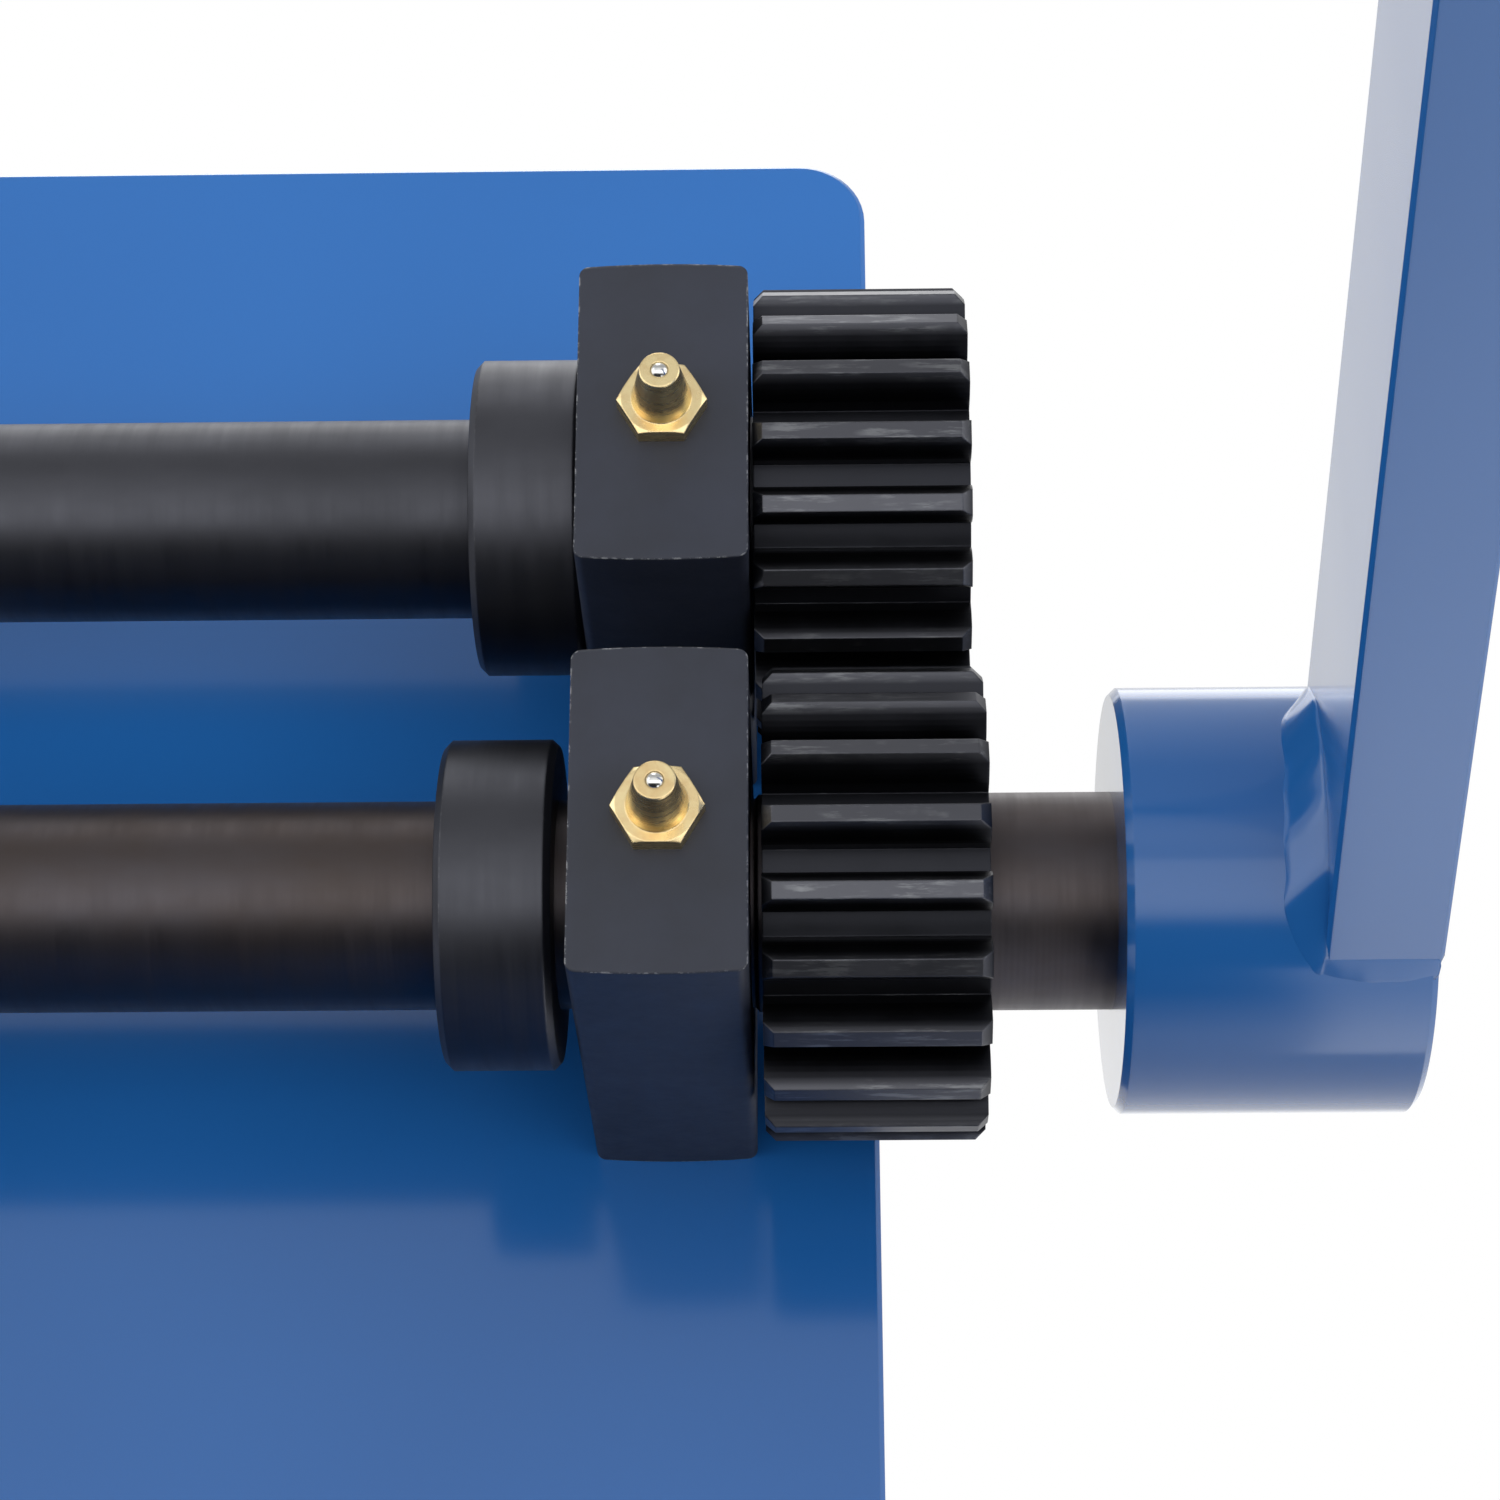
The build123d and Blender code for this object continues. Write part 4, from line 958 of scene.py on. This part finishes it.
    def underside(
        self, mesh: bmesh.types.BMesh, near: float, far: float, angle: float
    ) -> list[list[bmesh.types.BMEdge]]:
        """Draw the outlines round the corner and under the arm's lower end.

        Args:
            mesh: Mesh that receives the outlines.
            near: Place of the arm's side along the shafts.
            far: Place of its other side.
            angle: Place of the arm's lower end round the hub.

        Returns:
            The edges of each outline.
        """
        rings = []
        for i in range(1, self.corner_steps):
            share = i / self.corner_steps
            leg = self.corner_leg - self.corner_loss * share
            turn = share * math.pi / 2
            rings.append(self.section(mesh, near, angle, turn, leg, self.foot_height))
        for i in range(self.foot_steps + 1):
            share = i / self.foot_steps
            ripple = 1.0 + 0.05 * math.sin(i * 1.7)
            belly = math.sin(math.pi * share) ** 0.7
            leg = (self.end_leg + (self.foot_leg - self.end_leg) * belly) * ripple
            x = near + (far - near - self.end_gap) * share
            rings.append(self.section(mesh, x, angle, math.pi / 2, leg, self.foot_height))
        return rings

    def build(self) -> None:
        """Build the fillet down the arm's side, round the corner and under its lower end."""
        low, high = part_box("crank_arm")
        first = math.atan2(self.back - 0.4 * MM, self.hub_radius)
        last = math.atan2(self.front, math.sqrt(self.hub_radius**2 - self.front**2))
        mesh = bmesh.new()
        rings = self.side(mesh, low.x, first, last)
        rings += self.underside(mesh, low.x, high.x, last)
        for near, far in zip(rings, rings[1:]):
            bmesh.ops.bridge_loops(mesh, edges=near + far)
        for ring in (rings[0], rings[-1]):
            bmesh.ops.contextual_create(mesh, geom=ring)
        piece = publish(mesh, "crank_weld_fillet", BLUE_CRANK_PAINTED_SHADE, "crank")
        finish = piece.modifiers.new("smooth_fillet", "SUBSURF")
        finish.levels = 1
        finish.render_levels = 1
        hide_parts("crank_weld")


@dataclass
class AdjustingScrew:
    """Adjusting screw with a real helical thread.

    Attributes:
        pitch: Distance between crests.
        crest: Crest radius.
        thread_low: Height of the thread's lower end.
        thread_high: Height of its upper end.
        wall_rise: Least height of a face that counts as the plain shank wall.
        wall_slack: How far such a face may stand off the crest radius.
    """

    pitch: float = 2 * MM
    crest: float = 8 * MM
    thread_low: float = 358.0 * MM
    thread_high: float = 408.0 * MM
    wall_rise: float = 5 * MM
    wall_slack: float = 0.02 * MM

    def build(self, nodes: dict[str, bpy.types.Object]) -> None:
        """Copy the plain screw, open its shank wall and put a thread there.

        Args:
            nodes: Node name to object.
        """
        low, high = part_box("adjusting_screw")
        centre = Vector(((low.x + high.x) / 2, (low.y + high.y) / 2, 0))
        mesh = bmesh.new()
        mesh.from_mesh(nodes["adjusting_screw"].data)
        bmesh.ops.remove_doubles(mesh, verts=mesh.verts, dist=WELD_GAP)

        def on_wall(face: bmesh.types.BMFace) -> bool:
            """Find out whether a face belongs to the plain shank wall.

            Args:
                face: Face of the copied screw.

            Returns:
                True for a face of the wall.
            """
            reaches = [math.hypot(v.co.x - centre.x, v.co.y - centre.y) for v in face.verts]
            heights = [v.co.z for v in face.verts]
            at_crest = all(abs(r - self.crest) < self.wall_slack for r in reaches)
            return at_crest and max(heights) - min(heights) > self.wall_rise

        wall = [face for face in mesh.faces if on_wall(face)]
        bmesh.ops.delete(mesh, geom=wall, context="FACES")
        length = self.thread_high - self.thread_low + self.pitch
        start = Vector((centre.x, centre.y, self.thread_low))
        up, across = Vector((0, 0, 1)), Vector((1, 0, 0))
        helical_thread(mesh, start, up, across, self.crest, self.pitch, length)
        piece = publish(mesh, "adjusting_screw_threaded", OXIDE_FLAT, "screw", smooth=False)
        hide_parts("adjusting_screw")


@dataclass
class RollEnds:
    """Short lengths of thread that show past the roll nuts.

    Attributes:
        crest: Crest radius.
        pitch: Distance between crests.
        tuck: How far inside the nut the thread starts.
        bare_end: Plain length left at the shaft's tip.
    """

    crest: float = 9.1 * MM
    pitch: float = 1.5 * MM
    tuck: float = 0.3 * MM
    bare_end: float = 1.0 * MM

    def build(self) -> None:
        """Build a thread past each nut."""
        out, across = Vector((-1, 0, 0)), Vector((0, 1, 0))
        for side, body in (("lower", "crank"), ("upper", "upper_rotor")):
            shaft = side + "_shaft"
            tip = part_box(shaft)[0].x
            low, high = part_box(side + "_roll_nut")
            start = Vector((low.x + self.tuck, (low.y + high.y) / 2, (low.z + high.z) / 2))
            length = start.x - tip - self.bare_end
            mesh = bmesh.new()
            helical_thread(mesh, start, out, across, self.crest, self.pitch, length)
            publish(mesh, shaft + "_end_thread", OXIDE_FLAT, body, smooth=False)


@dataclass(frozen=True)
class Softbox:
    """Rectangular lamp that the camera doesn't see.

    Attributes:
        name: Name of the lamp.
        at: Where it hangs.
        aim: Point it faces.
        size: Width and height in metres.
        power: Power in watts.
        gloss_only: Whether it shows only as a sheen in glossy faces.
    """

    name: str
    at: tuple[float, float, float]
    aim: tuple[float, float, float]
    size: tuple[float, float]
    power: float
    gloss_only: bool = False

    def hang(self) -> None:
        """Hang the lamp in the scene."""
        lamp = bpy.data.lights.new(self.name, "AREA")
        lamp.shape = "RECTANGLE"
        lamp.size, lamp.size_y = self.size
        lamp.energy = self.power
        box = bpy.data.objects.new(self.name, lamp)
        box.visible_camera = False
        box.visible_diffuse = not self.gloss_only
        way = Vector(self.aim) - Vector(self.at)
        turn = way.to_track_quat("-Z", "Y").to_matrix().to_4x4()
        box.matrix_world = Matrix.Translation(Vector(self.at)) @ turn
        bpy.context.scene.collection.objects.link(box)


MIDDLE = (0.12, 0.0, 0.28)
SOFTBOXES = (
    Softbox("overhead_softbox", (0.0, 0.0, 1.40), MIDDLE, (1.2, 0.5), 2.9),
    Softbox("left_softbox", (-1.0, -0.5, 0.65), MIDDLE, (0.5, 0.9), 1.5),
    Softbox("right_softbox", (1.1, -0.4, 0.55), MIDDLE, (0.5, 0.8), 1.5),
    Softbox(
        "low_right_softbox", (0.31, -0.065, 0.03), (0.31, -0.065, 0.5), (0.116, 0.23), 0.145, True
    ),
    Softbox("rear_softbox", (0.0, 0.9, 1.6), MIDDLE, (1.2, 0.6), 2.5),
)


@dataclass
class Studio:
    """Pale floor with a painted shade and painted glow for other rays, soft lights, white surround
    and the camera.

    Attributes:
        camera_at: Place of the camera.
        pitch: How far it looks up, in degrees.
        yaw: How far it looks to the right, in degrees.
        roll: How far it leans, in degrees.
        lens: Focal length in millimetres.
        sensor: Width of the sensor in millimetres.
        floor_size: Half the width of the floor in metres.
        room_front: Height in the room from 0 to 1, and brightness there.
        room_rear: Place towards the rear from 0 to 1, and least brightness there.
        room_strength: Brightness of the whole room.
    """

    camera_at: Vector = field(default_factory=lambda: Vector((0.1664, -0.4173, 0.1054)))
    pitch: float = 24.804
    yaw: float = -1.013
    roll: float = -0.049
    lens: float = 87.36
    sensor: float = 36.0
    floor_size: float = 14.0
    room_front: tuple[tuple[float, float], ...] = (
        (0.0, 0.08),
        (0.46, 0.68),
        (0.60, 0.90),
        (0.67, 0.80),
        (0.74, 0.52),
        (0.90, 0.42),
        (1.0, 0.62),
    )
    room_rear: tuple[tuple[float, float], ...] = ((0.5, 0.0), (0.72, 0.68))
    room_strength: float = 1.30

    def floor(self) -> None:
        """Lay the pale floor, whose paper carries the painted shade and painted glow."""
        mesh = bmesh.new()
        bmesh.ops.create_grid(mesh, x_segments=8, y_segments=8, size=self.floor_size)
        data = bpy.data.meshes.new("studio_floor")
        mesh.to_mesh(data)
        mesh.free()
        data.materials.append(PAPER.material())
        sheet = bpy.data.objects.new("studio_floor", data)
        bpy.context.scene.collection.objects.link(sheet)

    def surround(self) -> None:
        """Light everything from a room that the camera sees as plain white.

        To other rays it is dark below, brightest a little above the horizon, dimmer higher up,
        and bright behind the machine.
        """
        world = bpy.data.worlds.new("white_room")
        world.use_nodes = True
        bpy.context.scene.world = world
        tree = world.node_tree
        tree.nodes.clear()
        way = node(tree, "SeparateXYZ", {0: node(tree, "TexCoord").outputs["Generated"]}).outputs
        up = maths(tree, "MULTIPLY_ADD", way["Z"], 0.5, 0.5)
        rear = maths(tree, "MULTIPLY_ADD", way["Y"], 0.5, 0.5)
        front = ramp(tree, up, self.room_front)
        behind = ramp(tree, rear, self.room_rear)
        level = maths(tree, "MAXIMUM", front, behind)
        room = node(tree, "Background", {"Color": level, "Strength": self.room_strength})
        white = node(tree, "Background", {"Color": (1.0, 1.0, 1.0, 1.0), "Strength": 1.0})
        seen = node(tree, "LightPath").outputs["Is Camera Ray"]
        mix = node(tree, "MixShader", {0: seen, 1: room.outputs[0], 2: white.outputs[0]})
        node(tree, "OutputWorld", {0: mix.outputs[0]})

    def camera(self) -> None:
        """Set up the camera from its place, pitch, yaw and roll."""
        pitch, yaw, roll = (math.radians(a) for a in (self.pitch, self.yaw, self.roll))
        level = math.cos(pitch)
        forward = Vector((math.sin(yaw) * level, math.cos(yaw) * level, math.sin(pitch)))
        right = Vector((math.cos(yaw), -math.sin(yaw), 0.0))
        up = right.cross(forward)
        side = right * math.cos(roll) + up * math.sin(roll)
        top = side.cross(forward)
        turn = Matrix((side, top, -forward)).transposed().to_4x4()
        data = bpy.data.cameras.new("camera")
        data.lens = self.lens
        data.sensor_width = self.sensor
        data.clip_start = 0.01
        cam = bpy.data.objects.new("camera", data)
        cam.matrix_world = Matrix.Translation(self.camera_at) @ turn
        bpy.context.scene.collection.objects.link(cam)
        bpy.context.scene.camera = cam

    def build(self) -> None:
        """Build the whole studio."""
        self.floor()
        self.surround()
        for softbox in SOFTBOXES:
            softbox.hang()
        self.camera()
        scene = bpy.context.scene
        scene.view_settings.view_transform = "Standard"
        scene.view_settings.look = "None"


def carried_finishes() -> dict[str, Finish]:
    """Finish of each solid node that keeps its own shape.

    Returns:
        Node name to finish.
    """
    groups: list[tuple[Finish, str]] = [
        (BLUE, "frame_plate base_plate base_gussets screw_bracket"),
        (BLUE_CRANK_PAINTED_SHADE, "crank_hub crank_arm crank_weld"),
        (CASTING, "lower_rear_block lower_front_block upper_rear_block upper_front_block"),
        (SHAFT, "upper_shaft upper_collar lower_collar"),
        (SHAFT_LOWER, "lower_shaft"),
        (OXIDE_FLAT, "front_guides adjusting_screw swivel_pad keeper_plate keeper_screws"),
        (OXIDE_FLAT, "lower_grub_screws upper_grub_screws"),
        (GEAR_LOWER, "lower_gear"),
        (GEAR_UPPER, "upper_gear"),
        (BRASS, "lower_nipples upper_nipples"),
        (BRONZE, "lower_bushes upper_bushes"),
        (BALL, "lower_nipple_balls upper_nipple_balls"),
        (ZINC, "lower_block_bolts guide_bolts bracket_bolts upper_pivot_bolt"),
        (ZINC, "lower_roll_nut upper_roll_nut"),
        (ZINC, "lower_roll_washer upper_roll_washer grip_nut grip_washer tommy_bar"),
        (SPINDLE, "grip_spindle"),
        (KEYSTEEL, "lower_shaft_keys upper_shaft_keys pad_pin"),
        (ROLLSTEEL, "lower_roll upper_roll"),
        (GRIP, "grip_sleeve"),
        (CAPS, "tommy_bar_caps"),
    ]
    return {name: finish for finish, names in groups for name in names.split()}


def main() -> None:
    """Load the frame, dress it and add the pieces that belong only to the looks."""
    logging.basicConfig(level=logging.INFO, format="%(message)s")
    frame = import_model()
    CarriedNodes(carried_finishes()).dress(frame["nodes"])
    WeldSeams().build()
    CrankWeld().build()
    AdjustingScrew().build(frame["nodes"])
    RollEnds().build()
    Studio().build()


if __name__ == "__main__":
    main()
